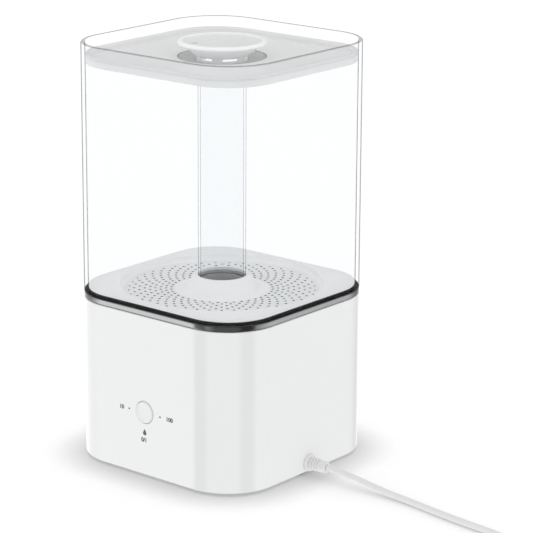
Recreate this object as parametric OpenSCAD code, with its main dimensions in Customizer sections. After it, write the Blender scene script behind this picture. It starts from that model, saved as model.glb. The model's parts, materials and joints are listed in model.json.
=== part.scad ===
// Cool mist humidifier: a white base with the fan, the mist maker and the control,
// a clear lift-off tank with a strainer tray and a centre mist tube, and a lift-off lid
// with a turning nozzle. Millimetres, +Z up. The origin is under the middle of the
// object, on the surface that it stands on. The control faces -Y and the cord leaves at +X.

/* [Body] */
// Outside width of the rounded square body
side = 176; // [150:1:220]
// Radius of the body's vertical corners
corner_r = 42; // [36:1:50]
// Height of the base housing above its feet
base_h = 126.5; // [118:0.5:150]
// Wall of the base housing
shell_t = 2.5; // [2:0.1:3]
// Height of the feet below the housing
foot_h = 2.5; // [2:0.1:4]
// Radius of each foot
foot_r = 9; // [7:0.5:10]
// Distance of each foot from the two centre lines
foot_at = 54; // [46:1:56]

/* [Tank] */
// Height of the clear tank wall
tank_h = 194.4; // [140:0.2:260]
// Thickness of the clear tank wall
tank_t = 3; // [2:0.1:3.4]
// Height of the dark trim band under the clear wall
trim_h = 4.5; // [4:0.1:8]
// Thickness of the trim band's wall
trim_t = 2.8; // [2.2:0.1:3]
// Depth of the tank floor pan below the trim band
pan_depth = 10.3; // [8:0.1:14]
// Thickness of the tank floor pan
pan_t = 2.5; // [2:0.1:3]
// Height of the black seal above the pan's flange
seal_h = 3; // [2.5:0.1:5]
// Width of the black seal
seal_w = 3.1; // [2:0.1:3.4]

/* [Strainer tray] */
// Radius of the round dish in the tray
dish_r = 79; // [70:0.5:80]
// Depth of the dish
dish_depth = 5.2; // [4.6:0.1:6]
// Radius of the rounded foot of the dish's wall
dish_round = 6; // [4:0.5:7]
// Thickness of the tray
tray_t = 1.4; // [1:0.1:1.8]
// Thickness of the tray's flat rim
tray_rim_t = 1.7; // [1.2:0.1:2.5]
// Diameter of the strainer holes
hole_d = 2.2; // [1.2:0.1:2.2]
// Number of rings of strainer holes
hole_rings = 9; // [3:1:9]
// Number of holes in each ring
holes_in_ring = 40; // [20:1:40]
// Radius of the innermost ring of holes
hole_first_r = 39.4; // [38:0.1:42]
// Distance from one ring of holes to the next
hole_step = 4.15; // [3.6:0.05:4.2]
// Height of the cone round the mist tube above the dish's floor
cone_h = 11.7; // [8:0.1:14]
// Outside radius of the cone at its top
cone_top_r = 21.8; // [21.4:0.1:23]
// Radius at which the cone flares into the floor
cone_foot_r = 35.5; // [33:0.5:36]

/* [Mist tube] */
// Outside radius of the mist tube and of the chimney under it
tube_r = 18.5; // [14:0.1:18.8]
// Wall of the mist tube
tube_t = 1.8; // [1.2:0.1:2.2]
// Wall of the chimney
chimney_t = 2.5; // [2:0.1:3]
// Length of the chimney below the pan
chimney_drop = 24; // [14:0.5:24]
// Thickness of the seal between the chimney and the tube
tube_seal_t = 1; // [0.8:0.1:2]

/* [Lid] */
// Distance of the lid's top below the tank's rim
lid_recess = 8.2; // [4:0.1:12]
// Height of the lid
lid_h = 8.3; // [8:0.1:12]
// Width of the raised lip round the lid
lip_w = 4.2; // [3:0.1:6]
// Depth of the lid's top plate below its lip
lip_h = 4.5; // [3:0.1:5]
// Thickness of the lid's top plate
lid_t = 2; // [1.6:0.1:2.4]
// Radius of the round well in the lid
well_r = 32.8; // [31:0.1:40]
// Thickness of the well's wall and floor
well_t = 1.7; // [1.5:0.1:2]

/* [Nozzle] */
// Radius of the nozzle's round cap
cap_r = 33.8; // [31:0.1:42]
// Thickness of the cap's rounded rim
cap_rim = 3.2; // [3:0.1:4]
// Radius of the shallow dish in the cap
cap_dish_r = 29.8; // [26:0.1:30.5]
// Depth of the shallow dish in the cap
cap_dish = 1; // [0.6:0.1:1.4]
// Outside radius of the nozzle's neck
neck_r = 19.6; // [19.4:0.1:21]
// Wall of the neck
neck_t = 2; // [1.6:0.1:2.2]
// Height of the neck below the cone
neck_h = 4.9; // [4.5:0.1:6]
// Height of the cone under the cap
flare_h = 7.6; // [6:0.1:9]
// Number of mist windows in the neck
windows = 6; // [4:1:8]

/* [Control] */
// Distance of the control's centre line from the middle of the front
control_x = -2; // [-10:1:10]
// Height of the knob's centre above the housing's bottom edge
knob_up = 50.2; // [46:0.1:60]
// Radius of the knob
knob_r = 8.5; // [8:0.1:10]
// Gap round the knob in its recess
knob_gap = 0.5; // [0.4:0.1:1]
// Distance that the knob's face stands out of the housing
knob_proud = 0.8; // [0.2:0.1:1.2]
// Thickness of the knob
knob_t = 5.6; // [5:0.1:6]
// Depth of the knob's recess
recess = 7.5; // [7:0.1:8]
// Height of the drop-shaped light's centre above the housing's bottom edge
drop_up = 33.6; // [32:0.1:36]
// Radius of the drop's round end
drop_r = 1.6; // [1.2:0.1:2]
// Height of the drop's point above the centre of its round end
drop_h = 3.2; // [2.6:0.1:4]

/* [Mist maker] */
// Inside radius of the pit in the water basin
pit_r = 46; // [40:0.5:46]
// Depth of the pit below the basin's deck
pit_depth = 28; // [24:0.5:32]
// Depth of the deck below the housing's rim
deck_depth = 28.6; // [27:0.1:34]
// Wall of the water basin
basin_t = 2.4; // [2:0.1:2.8]
// Radius of the ceramic disc that makes the mist
disc_r = 10; // [8:0.1:11]
// Thickness of the ceramic disc
disc_t = 1; // [0.8:0.1:1.2]
// Distance of the float behind the middle, towards the front
float_at = 30; // [30:0.5:32]
// Outside radius of the float
float_r = 11; // [9:0.1:11.5]
// Travel of the float
float_travel = 8; // [5:0.5:8]

/* [Air] */
// Width of the square fan frame
fan_w = 45; // [40:1:46]
// Height of the fan frame
fan_h = 12; // [10:1:14]
// Distance of each fan screw from the fan's centre lines
fan_pitch = 18.7; // [17:0.1:18.8]
// Place of the fan's axis, across and front to back
fan_x = -56; // [-58:1:-54]
fan_y = 30; // [24:1:32]
// Height of the posts under the fan
fan_post = 10; // [6:1:14]
// Inside radius of the air duct's upper tube
duct_r = 11; // [8:0.5:12]
// Wall of the air duct
duct_t = 2; // [1.6:0.1:2.4]

/* [Valve] */
// Distance of the refill valve from the mist tube's axis
valve_x = 62; // [60:0.5:64]
// Radius of the valve's opening
valve_bore = 6.5; // [5:0.1:7]
// Travel of the valve's plunger
valve_travel = 2.5; // [1.5:0.1:2.5]

/* [Cord] */
// Diameter of the power cord
cord_d = 4.7; // [4:0.1:5.6]
// Height of the cord's exit above the housing's bottom edge
gland_up = 7; // [7:0.1:9]
// Radius of the strain relief's flange
gland_r = 6.9; // [6:0.1:7]
// Length of the strain relief outside the housing
gland_l = 18; // [17:0.5:40]
// Number of ribs on the strain relief
gland_ribs = 4; // [3:1:6]
// Turns of the stored cord, side by side
coil_across = 4; // [3:1:5]
// Layers of the stored cord
coil_layers = 2; // [1:1:3]

/* [Fits] */
// Gap between pieces that move past each other
slide_gap = 0.3; // [0.3:0.05:0.6]
// Gap round fixed pieces that drop into each other
drop_gap = 0.3; // [0.2:0.05:0.5]
// Gap round a screw, pin or shaft in its hole
hole_gap = 0.15; // [0.1:0.05:0.3]
// Gap between the tank's pan and the basin's wall
pan_gap = 0.8; // [0.5:0.1:1.2]
// Gap between the lid and the tank wall
lid_gap = 0.4; // [0.3:0.05:0.8]
// Gap between the strainer tray and the tank wall
tray_gap = 0.7; // [0.3:0.05:1]

/* [Hidden] */
$fn = 64;
eps = 0.01;

white = "#f3f3f1";
inner_white = "#e6e6e2";
black = "#17181a";
milky = "#dfe0dfee";
clear = "#e8f0f230";
steel = "#b9bcc0";
board_green = "#2f6b47";
copper = "#c98a4b";

// heights, from the standing surface up
z_shell = foot_h;
z_rim = foot_h + base_h;
z_trim = z_rim + slide_gap;
z_wall = z_trim + trim_h;
z_tank = z_wall + tank_h;
z_deck = z_rim - deck_depth;
z_pit = z_deck - pit_depth;
trim_lip_t = 1;
z_flange = z_trim + trim_lip_t + pan_t;
z_seal = z_flange + seal_h;
z_tray = z_seal + tray_rim_t;
z_dish = z_tray - dish_depth;
z_cone = z_dish + cone_h;
z_pan = z_trim - pan_depth;
z_lid = z_tank - lid_recess;
z_lid_bottom = z_lid - lid_h;
z_plate = z_lid - lip_h;
z_well = z_lid_bottom - 0.4;
z_tube_top = z_well - slide_gap;
chimney_above = 5.5;
z_chimney = z_cone - chimney_above;
z_tube = z_chimney + tube_seal_t;

// widths of the rounded squares that nest in each other
shell_in = side - 2 * shell_t;
basin_side = shell_in - 2 * drop_gap;
basin_in = basin_side - 2 * basin_t;
pan_side = basin_in - 2 * pan_gap;
trim_in = side - 2 * trim_t;
wall_in = side - 2 * tank_t;
seal_side = wall_in - 2 * lid_gap;
tray_side = wall_in - 2 * tray_gap;
lid_side = wall_in - 2 * lid_gap;

// the corner radius that keeps a nested rounded square parallel to the outside
function corner(s) = corner_r - (side - s) / 2;

// ---------- shapes that repeat ----------

module rsq(s, r) {
    square([s, s - 2 * r], center = true);
    square([s - 2 * r, s], center = true);
    for (x = [-1, 1], y = [-1, 1])
        translate([x * (s / 2 - r), y * (s / 2 - r)]) circle(r);
}

module plate(s, z, h) {
    translate([0, 0, z]) linear_extrude(h) rsq(s, corner(s));
}

module band(s, s_in, z, h) {
    translate([0, 0, z]) linear_extrude(h) difference() {
        rsq(s, corner(s));
        rsq(s_in, corner(s_in));
    }
}

// carries a flat profile round a rounded square; its x = 0 line follows the square's edge
module around(s) {
    r = corner(s);
    for (k = [0:3]) rotate(90 * k) {
        translate([s / 2 - r, s / 2 - r, 0])
            rotate_extrude(angle = 90) translate([r, 0]) children();
        translate([s / 2, s / 2 - r, 0]) rotate([90, 0, 0]) linear_extrude(s - 2 * r) children();
    }
}

// a wall's profile, from x = -t to 0 and z = z0 to z1, with its outer edges rounded
module wall_profile(t, z0, z1, r0, r1) {
    n = 6;
    polygon(concat(
        [[-t, z1], [-t, z0]],
        [for (k = [0:n]) [-r0 + r0 * sin(90 * k / n), z0 + r0 - r0 * cos(90 * k / n)]],
        [for (k = [0:n]) [-r1 + r1 * cos(90 * k / n), z1 - r1 + r1 * sin(90 * k / n)]]
    ));
}

module rod(r, z0, z1) {
    translate([0, 0, z0]) cylinder(r = r, h = z1 - z0);
}

module pipe(r_out, r_in, z0, z1) {
    translate([0, 0, z0]) linear_extrude(z1 - z0) difference() {
        circle(r_out);
        circle(r_in);
    }
}

// lies along Y from y0 back to y1, on the control's centre line, at a height
module rod_y(r, x, z, y0, y1) {
    translate([x, y0, z]) rotate([-90, 0, 0]) cylinder(r = r, h = y1 - y0);
}

module rod_x(r, y, z, x0, x1) {
    translate([x0, y, z]) rotate([0, 90, 0]) cylinder(r = r, h = x1 - x0);
}

// a pan-head screw with its head's seat at z = 0 and its shank up
module screw(shank_r, head_r, head_t, length) {
    rod(shank_r, 0, length);
    difference() {
        rod(head_r, -head_t, 0);
        for (a = [0, 90]) rotate(a)
            translate([-head_r * 0.6, -0.35, -head_t - eps]) cube([head_r * 1.2, 0.7, 0.8]);
    }
}

module at_corners(x, y) {
    for (a = [-1, 1], b = [-1, 1]) translate([a * x, b * y, 0]) children();
}

// ---------- tubes along a route ----------

function unit(v) = v / norm(v);

// a point on the smooth curve through the route, between its points i and i + 1
function on_curve(p, i, u) =
    let (n = len(p) - 1, a = p[max(i - 1, 0)], b = p[i], c = p[i + 1], d = p[min(i + 2, n)])
    0.5 * ((2 * b) + (c - a) * u + (2 * a - 5 * b + 4 * c - d) * u * u
        + (3 * b - a - 3 * c + d) * u * u * u);

function curve(p, steps) = concat(
    [for (i = [0:len(p) - 2], k = [0:steps - 1]) on_curve(p, i, k / steps)],
    [p[len(p) - 1]]);

function heading(c, i) = unit(c[min(i + 1, len(c) - 1)] - c[max(i - 1, 0)]);

// each ring is square to the route; its first side is square to ref, which no stretch runs along
module tube_along(route, r, sides, steps, ref = [0, 0, 1]) {
    c = curve(route, steps);
    n = len(c);
    points = [for (i = [0:n - 1]) let (t = heading(c, i), e = unit(cross(ref, t)), u = cross(t, e))
        for (k = [0:sides - 1]) c[i] + r * (cos(360 * k / sides) * e + sin(360 * k / sides) * u)];
    walls = [for (i = [0:n - 2], k = [0:sides - 1]) let (j = (k + 1) % sides)
        [i * sides + k, (i + 1) * sides + k, (i + 1) * sides + j, i * sides + j]];
    caps = [[for (k = [0:sides - 1]) k], [for (k = [sides - 1:-1:0]) (n - 1) * sides + k]];
    polyhedron(concat(points), concat(walls, caps));
}

// ---------- base ----------

boss_at = 66;
boss_r = 4;
boss_h = 24;
screw_r = 1.5;
screw_head_r = 3.1;
screw_head_t = 2;
bottom_t = 2.5;
pad_t = 2.5;
z_bottom = z_shell + bottom_t;
z_boss = z_bottom + pad_t;
ledge_w = 4;
ledge_t = 3;
gasket_t = 1;
z_ledge = z_deck - gasket_t;
knob_z = z_shell + knob_up;
recess_r = knob_r + knob_gap;
front = -side / 2;
cup_t = 2.5;
cup_wall = 2;
cup_back = front + recess + cup_t;
bush_r = 3.5;
drop_z = z_shell + drop_up;
gland_z = z_shell + gland_up;
gland_neck_r = 4.4;

// panel board and its posts behind the front wall
post_r = 3;
pot_depth = 9;
y_panel = cup_back + pot_depth;
panel_t = 1.6;
panel_post_x = 17;
panel_post_up = 14;
panel_post_down = 24;

module drop(grow) {
    r = drop_r + grow;
    top = drop_h + 1.4 * grow;
    touch = r * r / top;
    circle(r, $fn = 32);
    polygon([[-sqrt(r * r - touch * touch), touch], [sqrt(r * r - touch * touch), touch], [0, top]]);
}

module drop_prism(grow, y0, y1) {
    translate([control_x, y1, drop_z]) rotate([90, 0, 0]) linear_extrude(y1 - y0) drop(grow);
}

module panel_posts() {
    for (x = [-1, 1], z = [knob_z + panel_post_up, knob_z - panel_post_down])
        translate([control_x + x * panel_post_x, 0, z]) children();
}

module base_housing() color(white) difference() {
    union() {
        around(side) wall_profile(shell_t, z_shell, z_rim, 0.8, 0.8);
        // ledge that carries the water basin
        band(shell_in + eps, shell_in - 2 * ledge_w, z_ledge - ledge_t, ledge_t);
        // screw bosses, each tied to its corner
        for (k = [0:3]) rotate(90 * k) {
            translate([boss_at, boss_at, 0]) rod(boss_r, z_boss, z_boss + boss_h);
            intersection() {
                translate([boss_at, boss_at, z_boss]) rotate(45)
                    translate([0, -1, 0]) cube([side, 2, boss_h]);
                plate(shell_in + eps, z_boss, boss_h);
            }
        }
        // cup behind the knob, and the posts that carry the panel board
        rod_y(recess_r + cup_wall, control_x, knob_z, front + shell_t - eps, cup_back);
        for (x = [-1, 1], z = [knob_z + panel_post_up, knob_z - panel_post_down])
            rod_y(post_r, control_x + x * panel_post_x, z, front + shell_t - eps, y_panel);
    }
    for (k = [0:3]) rotate(90 * k)
        translate([boss_at, boss_at, 0]) rod(screw_r + hole_gap, z_boss - 1, z_boss + boss_h - 4);
    rod_y(recess_r, control_x, knob_z, front - 1, front + recess);
    rod_y(bush_r + hole_gap, control_x, knob_z, front, cup_back + 1);
    for (x = [-1, 1], z = [knob_z + panel_post_up, knob_z - panel_post_down])
        rod_y(screw_r + hole_gap, control_x + x * panel_post_x, z, y_panel - 9, y_panel + 1);
    drop_prism(hole_gap, front - 1, front + shell_t + 1);
    rod_x(gland_neck_r + hole_gap, 0, gland_z, side / 2 - shell_t - 1, side / 2 + 1);
}

// base plate: feet pockets, screw pads, air slots, board standoffs and fan posts
foot_sink = 0.7;
slot_n = 6;
slot_w = 3;
slot_pitch = 6;
standoff_r = 3;
standoff_h = 7;
z_board = z_bottom + standoff_h;
board_t = 1.6;
board_inset = 4;
driver_c = [-18, -36];
driver_s = [60, 44];
power_c = [38, 31];
power_s = [70, 50];
z_fan = z_bottom + fan_post;
z_fan_top = z_fan + fan_h;

module board_holes(c, s) {
    translate([c[0], c[1], 0]) at_corners(s[0] / 2 - board_inset, s[1] / 2 - board_inset) children();
}

module fan_holes() {
    translate([fan_x, fan_y, 0]) at_corners(fan_pitch, fan_pitch) children();
}

module base_bottom() color(inner_white) difference() {
    union() {
        plate(basin_side, z_shell, bottom_t);
        at_corners(boss_at, boss_at) rod(boss_r, z_shell + 1, z_boss);
        board_holes(driver_c, driver_s) rod(standoff_r, z_shell + 1, z_board);
        board_holes(power_c, power_s) rod(standoff_r, z_shell + 1, z_board);
        fan_holes() rod(standoff_r, z_shell + 1, z_fan);
    }
    at_corners(foot_at, foot_at) rod(foot_r + hole_gap, z_shell - 1, z_shell + foot_sink);
    at_corners(boss_at, boss_at) {
        rod(screw_head_r + 0.4, z_shell - 1, z_bottom);
        rod(screw_r + hole_gap, z_shell, z_boss + 1);
    }
    board_holes(driver_c, driver_s) rod(screw_r + hole_gap, z_bottom, z_board + 1);
    board_holes(power_c, power_s) rod(screw_r + hole_gap, z_bottom, z_board + 1);
    fan_holes() rod(screw_r + hole_gap, z_bottom, z_fan + 1);
    for (k = [0:slot_n - 1])
        translate([fan_x - 15, fan_y + (k - (slot_n - 1) / 2) * slot_pitch - slot_w / 2, z_shell - 1])
            cube([30, slot_w, bottom_t + 2]);
    // room for the strain relief's inner collar
    translate([side / 2 - shell_t - 7, -8, z_shell - 1]) cube([10, 16, bottom_t + 2]);
}

module feet() color("#4a4b4d") at_corners(foot_at, foot_at) rotate_extrude()
    polygon([[0, 0], [foot_r - 1, 0], [foot_r, 1], [foot_r, foot_h + foot_sink], [0, foot_h + foot_sink]]);

module bottom_screws() color(steel) at_corners(boss_at, boss_at)
    translate([0, 0, z_bottom]) screw(screw_r, screw_head_r, screw_head_t, 16);

// ---------- water basin and mist maker ----------

disc_hole_r = disc_r + 1;
rim_up = 2.6;
float_post_r = 3.6;
float_bore_r = 4.1;
float_h = 11.7;
z_float = z_pit + basin_t + 1.1;
z_clip = z_float + float_h + float_travel + slide_gap;
clip_t = 2;
post_top = z_clip + clip_t + 0.8;
neck_post_r = 3;
reed_bore_r = 2.1;
reed_r = 1.7;
duct_out = duct_r + duct_t;
socket_gap = 0.3;
socket_h = 6;
riser_up = 11.6;
pin_r = 3;
disc_seal_r = disc_r + 5;
disc_seal_t = 2.6;
disc_lip_t = 0.6;
z_disc_plate = z_pit - disc_seal_t - 0.1;
disc_plate_t = 1.6;
disc_screw_at = disc_seal_r + 4;
disc_boss_r = 2.8;
disc_screw_r = 1.2;

module on_disc_screws() {
    for (a = [0, 120, 240]) rotate(a) translate([disc_screw_at, 0, 0]) children();
}

module water_basin() color(white) difference() {
    union() {
        band(basin_side, basin_in, z_deck, z_rim - z_deck);
        plate(basin_side - eps, z_deck, basin_t);
        rod(pit_r + basin_t, z_pit, z_deck + eps);
        // riser that keeps the air inlet above the water, and the duct's socket under it
        translate([fan_x, fan_y, 0]) {
            rod(duct_out, z_deck, z_deck + basin_t + riser_up);
            rod(duct_out + socket_gap + 2, z_deck - socket_h, z_deck + eps);
        }
        // pin that meets the refill valve's stem
        translate([valve_x, 0, 0]) rod(pin_r, z_deck, z_pin);
        on_disc_screws() rod(disc_boss_r, z_disc_plate, z_pit + eps);
    }
    difference() {
        rod(pit_r, z_pit + basin_t, z_deck + basin_t + 1);
        pipe(disc_hole_r + 2.5, disc_hole_r - eps, z_pit, z_pit + basin_t + rim_up);
        translate([0, -float_at, 0]) {
            rod(float_post_r, z_pit, z_clip - hole_gap);
            rod(neck_post_r, z_pit, post_top);
        }
    }
    rod(disc_hole_r, z_pit - 1, z_pit + basin_t + 1);
    translate([0, -float_at, 0]) rod(reed_bore_r, z_pit - 1, z_clip - 2);
    translate([fan_x, fan_y, 0]) {
        rod(duct_r, z_deck - eps, z_deck + basin_t + riser_up + 1);
        rod(duct_out + socket_gap, z_deck - socket_h - 1, z_deck);
    }
    on_disc_screws() rod(disc_screw_r + 0.1, z_disc_plate - 1, z_pit + 1.4);
}

module basin_seal() color(black)
    band(shell_in - 2 * drop_gap, shell_in - 2 * ledge_w, z_ledge, gasket_t);

module transducer_disc() color("#c9c6bd") rod(disc_r, z_pit - disc_seal_t + 0.9, z_pit - disc_seal_t + 0.9 + disc_t);

module transducer_seal() color(black) difference() {
    pipe(disc_seal_r, disc_r - 1.5, z_pit - disc_seal_t, z_pit);
    rod(disc_r + 0.1, z_pit - disc_seal_t + 0.8, z_pit - disc_seal_t + 1 + disc_t);
}

module transducer_plate() color(steel) translate([0, 0, z_disc_plate - disc_plate_t])
    linear_extrude(disc_plate_t) difference() {
        union() {
            circle(disc_seal_r + 1);
            for (a = [0, 120, 240]) rotate(a) {
                translate([disc_screw_at, 0]) circle(disc_boss_r + 1);
                translate([0, -disc_boss_r - 1]) square([disc_screw_at, 2 * disc_boss_r + 2]);
            }
        }
        circle(disc_r - 3);
        for (a = [0, 120, 240]) rotate(a) translate([disc_screw_at, 0]) circle(disc_screw_r + hole_gap);
    }

module transducer_screws() color(steel) on_disc_screws()
    translate([0, 0, z_disc_plate - disc_plate_t]) screw(disc_screw_r, 2.4, 1.6, 5);

module float_ring() color("#f0efe8") translate([0, -float_at, 0])
    pipe(float_r, float_bore_r, z_float, z_float + float_h);

module float_clip() color(white) translate([0, -float_at, 0])
    pipe(float_post_r + 2.2, neck_post_r + 0.1, z_clip, z_clip + clip_t);

module level_sensor() color(black) translate([0, -float_at, 0]) {
    rod(reed_r, z_pit - 1.5, z_clip - 4);
    rod(float_post_r, z_pit - 3, z_pit - 0.1);
}

// ---------- fan and duct ----------

fan_bore = fan_w / 2 - 1.6;
hub_r = 9;
axle_r = 1.5;
blade_n = 7;
blade_tilt = 38;
spider_t = 1.5;
duct_flange_t = 2;
duct_cone_top = 60;

module fan_frame() color(black) translate([fan_x, fan_y, 0]) {
    translate([0, 0, z_fan]) linear_extrude(fan_h) difference() {
        rsq(fan_w, 3);
        circle(fan_bore);
        at_corners(fan_pitch, fan_pitch) circle(screw_r + 0.2, $fn = 32);
    }
    translate([0, 0, z_fan]) linear_extrude(spider_t) {
        circle(hub_r);
        for (k = [0:3]) rotate(90 * k) translate([0, -1]) square([fan_bore + 0.6, 2]);
    }
    rod(axle_r, z_fan + spider_t / 2, z_fan + fan_h - 2);
}

module fan_impeller() color("#2b2c2f") translate([fan_x, fan_y, 0]) {
    z0 = z_fan + spider_t + 0.6;
    z1 = z_fan + fan_h - 1;
    difference() {
        rod(hub_r, z0, z1);
        rod(axle_r + hole_gap, z0 - 1, z1 - 0.9);
        pipe(hub_r - 1.5, 3.2, z0 - 1, z1 - 3);
    }
    intersection() {
        for (k = [0:blade_n - 1]) rotate(360 * k / blade_n)
            translate([hub_r - 0.6, 0, (z0 + z1) / 2]) rotate([blade_tilt, 0, 0])
                translate([0, -0.6, -7]) cube([fan_bore, 1.2, 14]);
        pipe(fan_bore - 0.8, hub_r - 0.8, z0, z1 - 0.2);
    }
}

module fan_screws() color(steel) fan_holes()
    translate([0, 0, z_fan_top + duct_flange_t]) rotate([180, 0, 0]) screw(screw_r, 2.7, 1.8, 20);

module air_duct() color(inner_white) translate([fan_x, fan_y, 0]) {
    translate([0, 0, z_fan_top]) linear_extrude(duct_flange_t) difference() {
        rsq(fan_w, 3);
        circle(fan_bore);
        at_corners(fan_pitch, fan_pitch) circle(screw_r + 0.2, $fn = 32);
    }
    rotate_extrude() polygon([
        [fan_bore, z_fan_top], [fan_w / 2, z_fan_top], [fan_w / 2, z_fan_top + duct_flange_t],
        [duct_out, duct_cone_top], [duct_out, z_deck - slide_gap], [duct_r, z_deck - slide_gap],
        [duct_r, duct_cone_top]]);
}

// ---------- boards ----------

module board(c, s) {
    translate([c[0], c[1], z_board]) linear_extrude(board_t) difference() {
        square(s, center = true);
        at_corners(s[0] / 2 - board_inset, s[1] / 2 - board_inset) circle(screw_r + 0.2, $fn = 32);
    }
}

z_parts = z_board + board_t;

module block(x, y, w, d, h) {
    translate([x - w / 2, y - d / 2, z_parts]) cube([w, d, h]);
}

module can(x, y, r, h) {
    translate([x, y, 0]) rod(r, z_parts, z_parts + h);
}

module driver_board() color(board_green) board(driver_c, driver_s);

module driver_parts() color("#3c3f46") {
    can(0, -26, 5, 12);
    can(0, -40, 4, 10);
    block(-30, -19, 9, 5, 4);
    block(-14, -20, 10, 6, 6);
    block(-8, -52, 8, 5, 5);
    block(-34, -52, 8, 5, 5);
    can(-14, -34, 6, 8);
}

// a finned block, with the power transistor standing against its flat back
module heat_sink() color("#9fa3a8") {
    block(-36, -34, 3, 20, 22);
    for (k = [0:4]) block(-31, -42.4 + 4.2 * k, 8, 1.6, 22);
}

module power_board() color(board_green) board(power_c, power_s);

module power_parts() color("#d9b44a") {
    block(34, 34, 26, 22, 18);
    can(56, 44, 7, 20);
    can(14, 44, 5, 14);
    block(56, 26, 12, 8, 9);
    block(62, 17, 9, 8, 7);
    block(10, 18, 8, 9, 7);
    block(38, 12, 16, 5, 6);
}

module board_screws() color(steel) for (b = [[driver_c, driver_s], [power_c, power_s]])
    board_holes(b[0], b[1]) translate([0, 0, z_parts]) rotate([180, 0, 0]) screw(screw_r, 2.8, 1.8, 7.5);

// ---------- control panel ----------

module pot_body() color("#8d9297") difference() {
    union() {
        rod_y(8, control_x, knob_z, cup_back, y_panel);
        rod_y(bush_r, control_x, knob_z, front + recess - 4.4, cup_back + eps);
    }
    rod_y(shaft_r + hole_gap, control_x, knob_z, front, y_panel - 2.5);
}

shaft_r = 2.6;
nut_t = 2;
knob_seat = 0.4;

module pot_nut() color(steel) difference() {
    translate([control_x, front + recess - nut_t, knob_z]) rotate([-90, 0, 0]) cylinder(r = 5.8, h = nut_t, $fn = 6);
    rod_y(bush_r + 0.05, control_x, knob_z, front + recess - nut_t - 1, front + recess + 1);
}

module pot_shaft() color(steel)
    rod_y(shaft_r, control_x, knob_z, front - knob_proud + 1.6, y_panel - 2.8);

module knob() color(white) difference() {
    translate([control_x, front - knob_proud, knob_z]) rotate([-90, 0, 0]) rotate_extrude() {
        polygon([[0, 0], [knob_r - 0.8, 0], [knob_r, 0.8], [knob_r, knob_t], [0, knob_t]]);
    }
    // hollow back that clears the bush and its nut, round the socket for the shaft
    difference() {
        rod_y(knob_r - 1.6, control_x, knob_z, front - knob_proud + 2.2, front + recess);
        rod_y(shaft_r + 1.1, control_x, knob_z, front - knob_proud, front + recess - 4.4 - slide_gap);
    }
    rod_y(shaft_r + 0.02, control_x, knob_z, front - knob_proud + 1.6, front + recess);
    // pointer groove, towards the light when the control is off
    translate([control_x - 0.5, front - knob_proud - 1, knob_z - knob_r + 1.2]) cube([1, 1.4, 3.4]);
}

module panel_board() color(board_green) difference() {
    translate([control_x - 21, y_panel, knob_z - 29]) cube([42, panel_t, 48]);
    for (x = [-1, 1], z = [knob_z + panel_post_up, knob_z - panel_post_down])
        rod_y(screw_r + 0.2, control_x + x * panel_post_x, z, y_panel - 1, y_panel + panel_t + 1);
}

module panel_screws() color(steel) panel_posts()
    translate([0, y_panel + panel_t, 0]) rotate([90, 0, 0]) screw(screw_r, 2.8, 1.8, 9);

led_l = 4;

module panel_light() color("#dce8ff") translate([control_x, 0, drop_z]) {
    rod_y(1.5, 0, 0, y_panel - led_l + 0.3, y_panel);
}

module indicator_lens() color("#cfe2f5c0") {
    drop_prism(0, front - 0.2, y_panel - led_l);
    drop_prism(0.9, front + shell_t, front + shell_t + 1);
}

// ---------- strain relief and inner leads ----------

gland_x = side / 2;
gland_collar_r = 4.9;
gland_flange_t = 2.2;
gland_tip_r = 4.2;
gland_root_r = 5.6;
gland_tip_l = 5;

module strain_relief() color(white) translate([gland_x, 0, gland_z]) rotate([0, 90, 0]) {
    rib_zone = gland_l - gland_flange_t - gland_tip_l;
    pitch = rib_zone / gland_ribs;
    rod(gland_collar_r, -shell_t - 2.5, -shell_t);
    rod(gland_neck_r, -shell_t - 1, 1);
    rotate_extrude() polygon([[0, 0], [gland_r, 0], [gland_r, gland_flange_t - 0.8],
        [gland_r - 0.8, gland_flange_t], [0, gland_flange_t]]);
    rod(gland_tip_r - 0.8, 0, gland_l - 1);
    for (k = [0:gland_ribs - 1])
        translate([0, 0, gland_flange_t + (k + 0.3) * pitch])
            cylinder(r = gland_root_r + (gland_tip_r + 0.4 - gland_root_r) * k / gland_ribs, h = pitch * 0.7);
    rotate_extrude() polygon([[0, gland_l - gland_tip_l], [gland_tip_r + 0.2, gland_l - gland_tip_l],
        [gland_tip_r, gland_l - 0.6], [gland_tip_r - 0.5, gland_l], [0, gland_l]]);
}

// routes of the inner leads, from what feeds them to the block that they plug into
seat_z = 0.4;
mains_route = [[side / 2 - shell_t - 2.8, 0, gland_z], [79, 0, 10], [76, 2, 14], [73, 6, 21],
    [68, 12, 26], [63, 16, 27], [62, 17, 24], [62, 17, z_parts + 7 + seat_z]];
dc_route = [[10, 18, z_parts + 7 + seat_z], [10, 18, 24], [8, 14, 28], [2, 4, 29], [-4, -8, 28],
    [-12, -18, 26], [-14, -20, 23], [-14, -20, z_parts + 6 + seat_z]];
fan_route = [[fan_x + 23, 22, z_fan + 4], [fan_x + 26, 21, z_fan + 5], [-28, 12, 25],
    [-28, 2, 26], [-29, -12, 25], [-30, -18, 22], [-30, -19, z_parts + 4 + seat_z]];
disc_route = [[4, 0, z_disc_plate - disc_plate_t - seat_z], [4, -1, 58], [2, -8, 46], [-8, -28, 34],
    [-14, -34, 27], [-14, -34, z_parts + 8 + seat_z]];
sensor_route = [[0, -float_at, z_pit - 3 - seat_z], [0, -30, 60], [2, -36, 46], [-4, -48, 30],
    [-8, -52, 24], [-8, -52, z_parts + 5 + seat_z]];
panel_route = [[-8, y_panel + panel_t + seat_z, 36], [-10, y_panel + 7, 35], [-22, -58, 31],
    [-33, -53, 26], [-34, -52, z_parts + 5 + seat_z]];
lead_r = 1.2;
// directions that no stretch of these leads runs along
across = [1, 0.2, 0];
aslant = [0.6, 0.8, 0];

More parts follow.
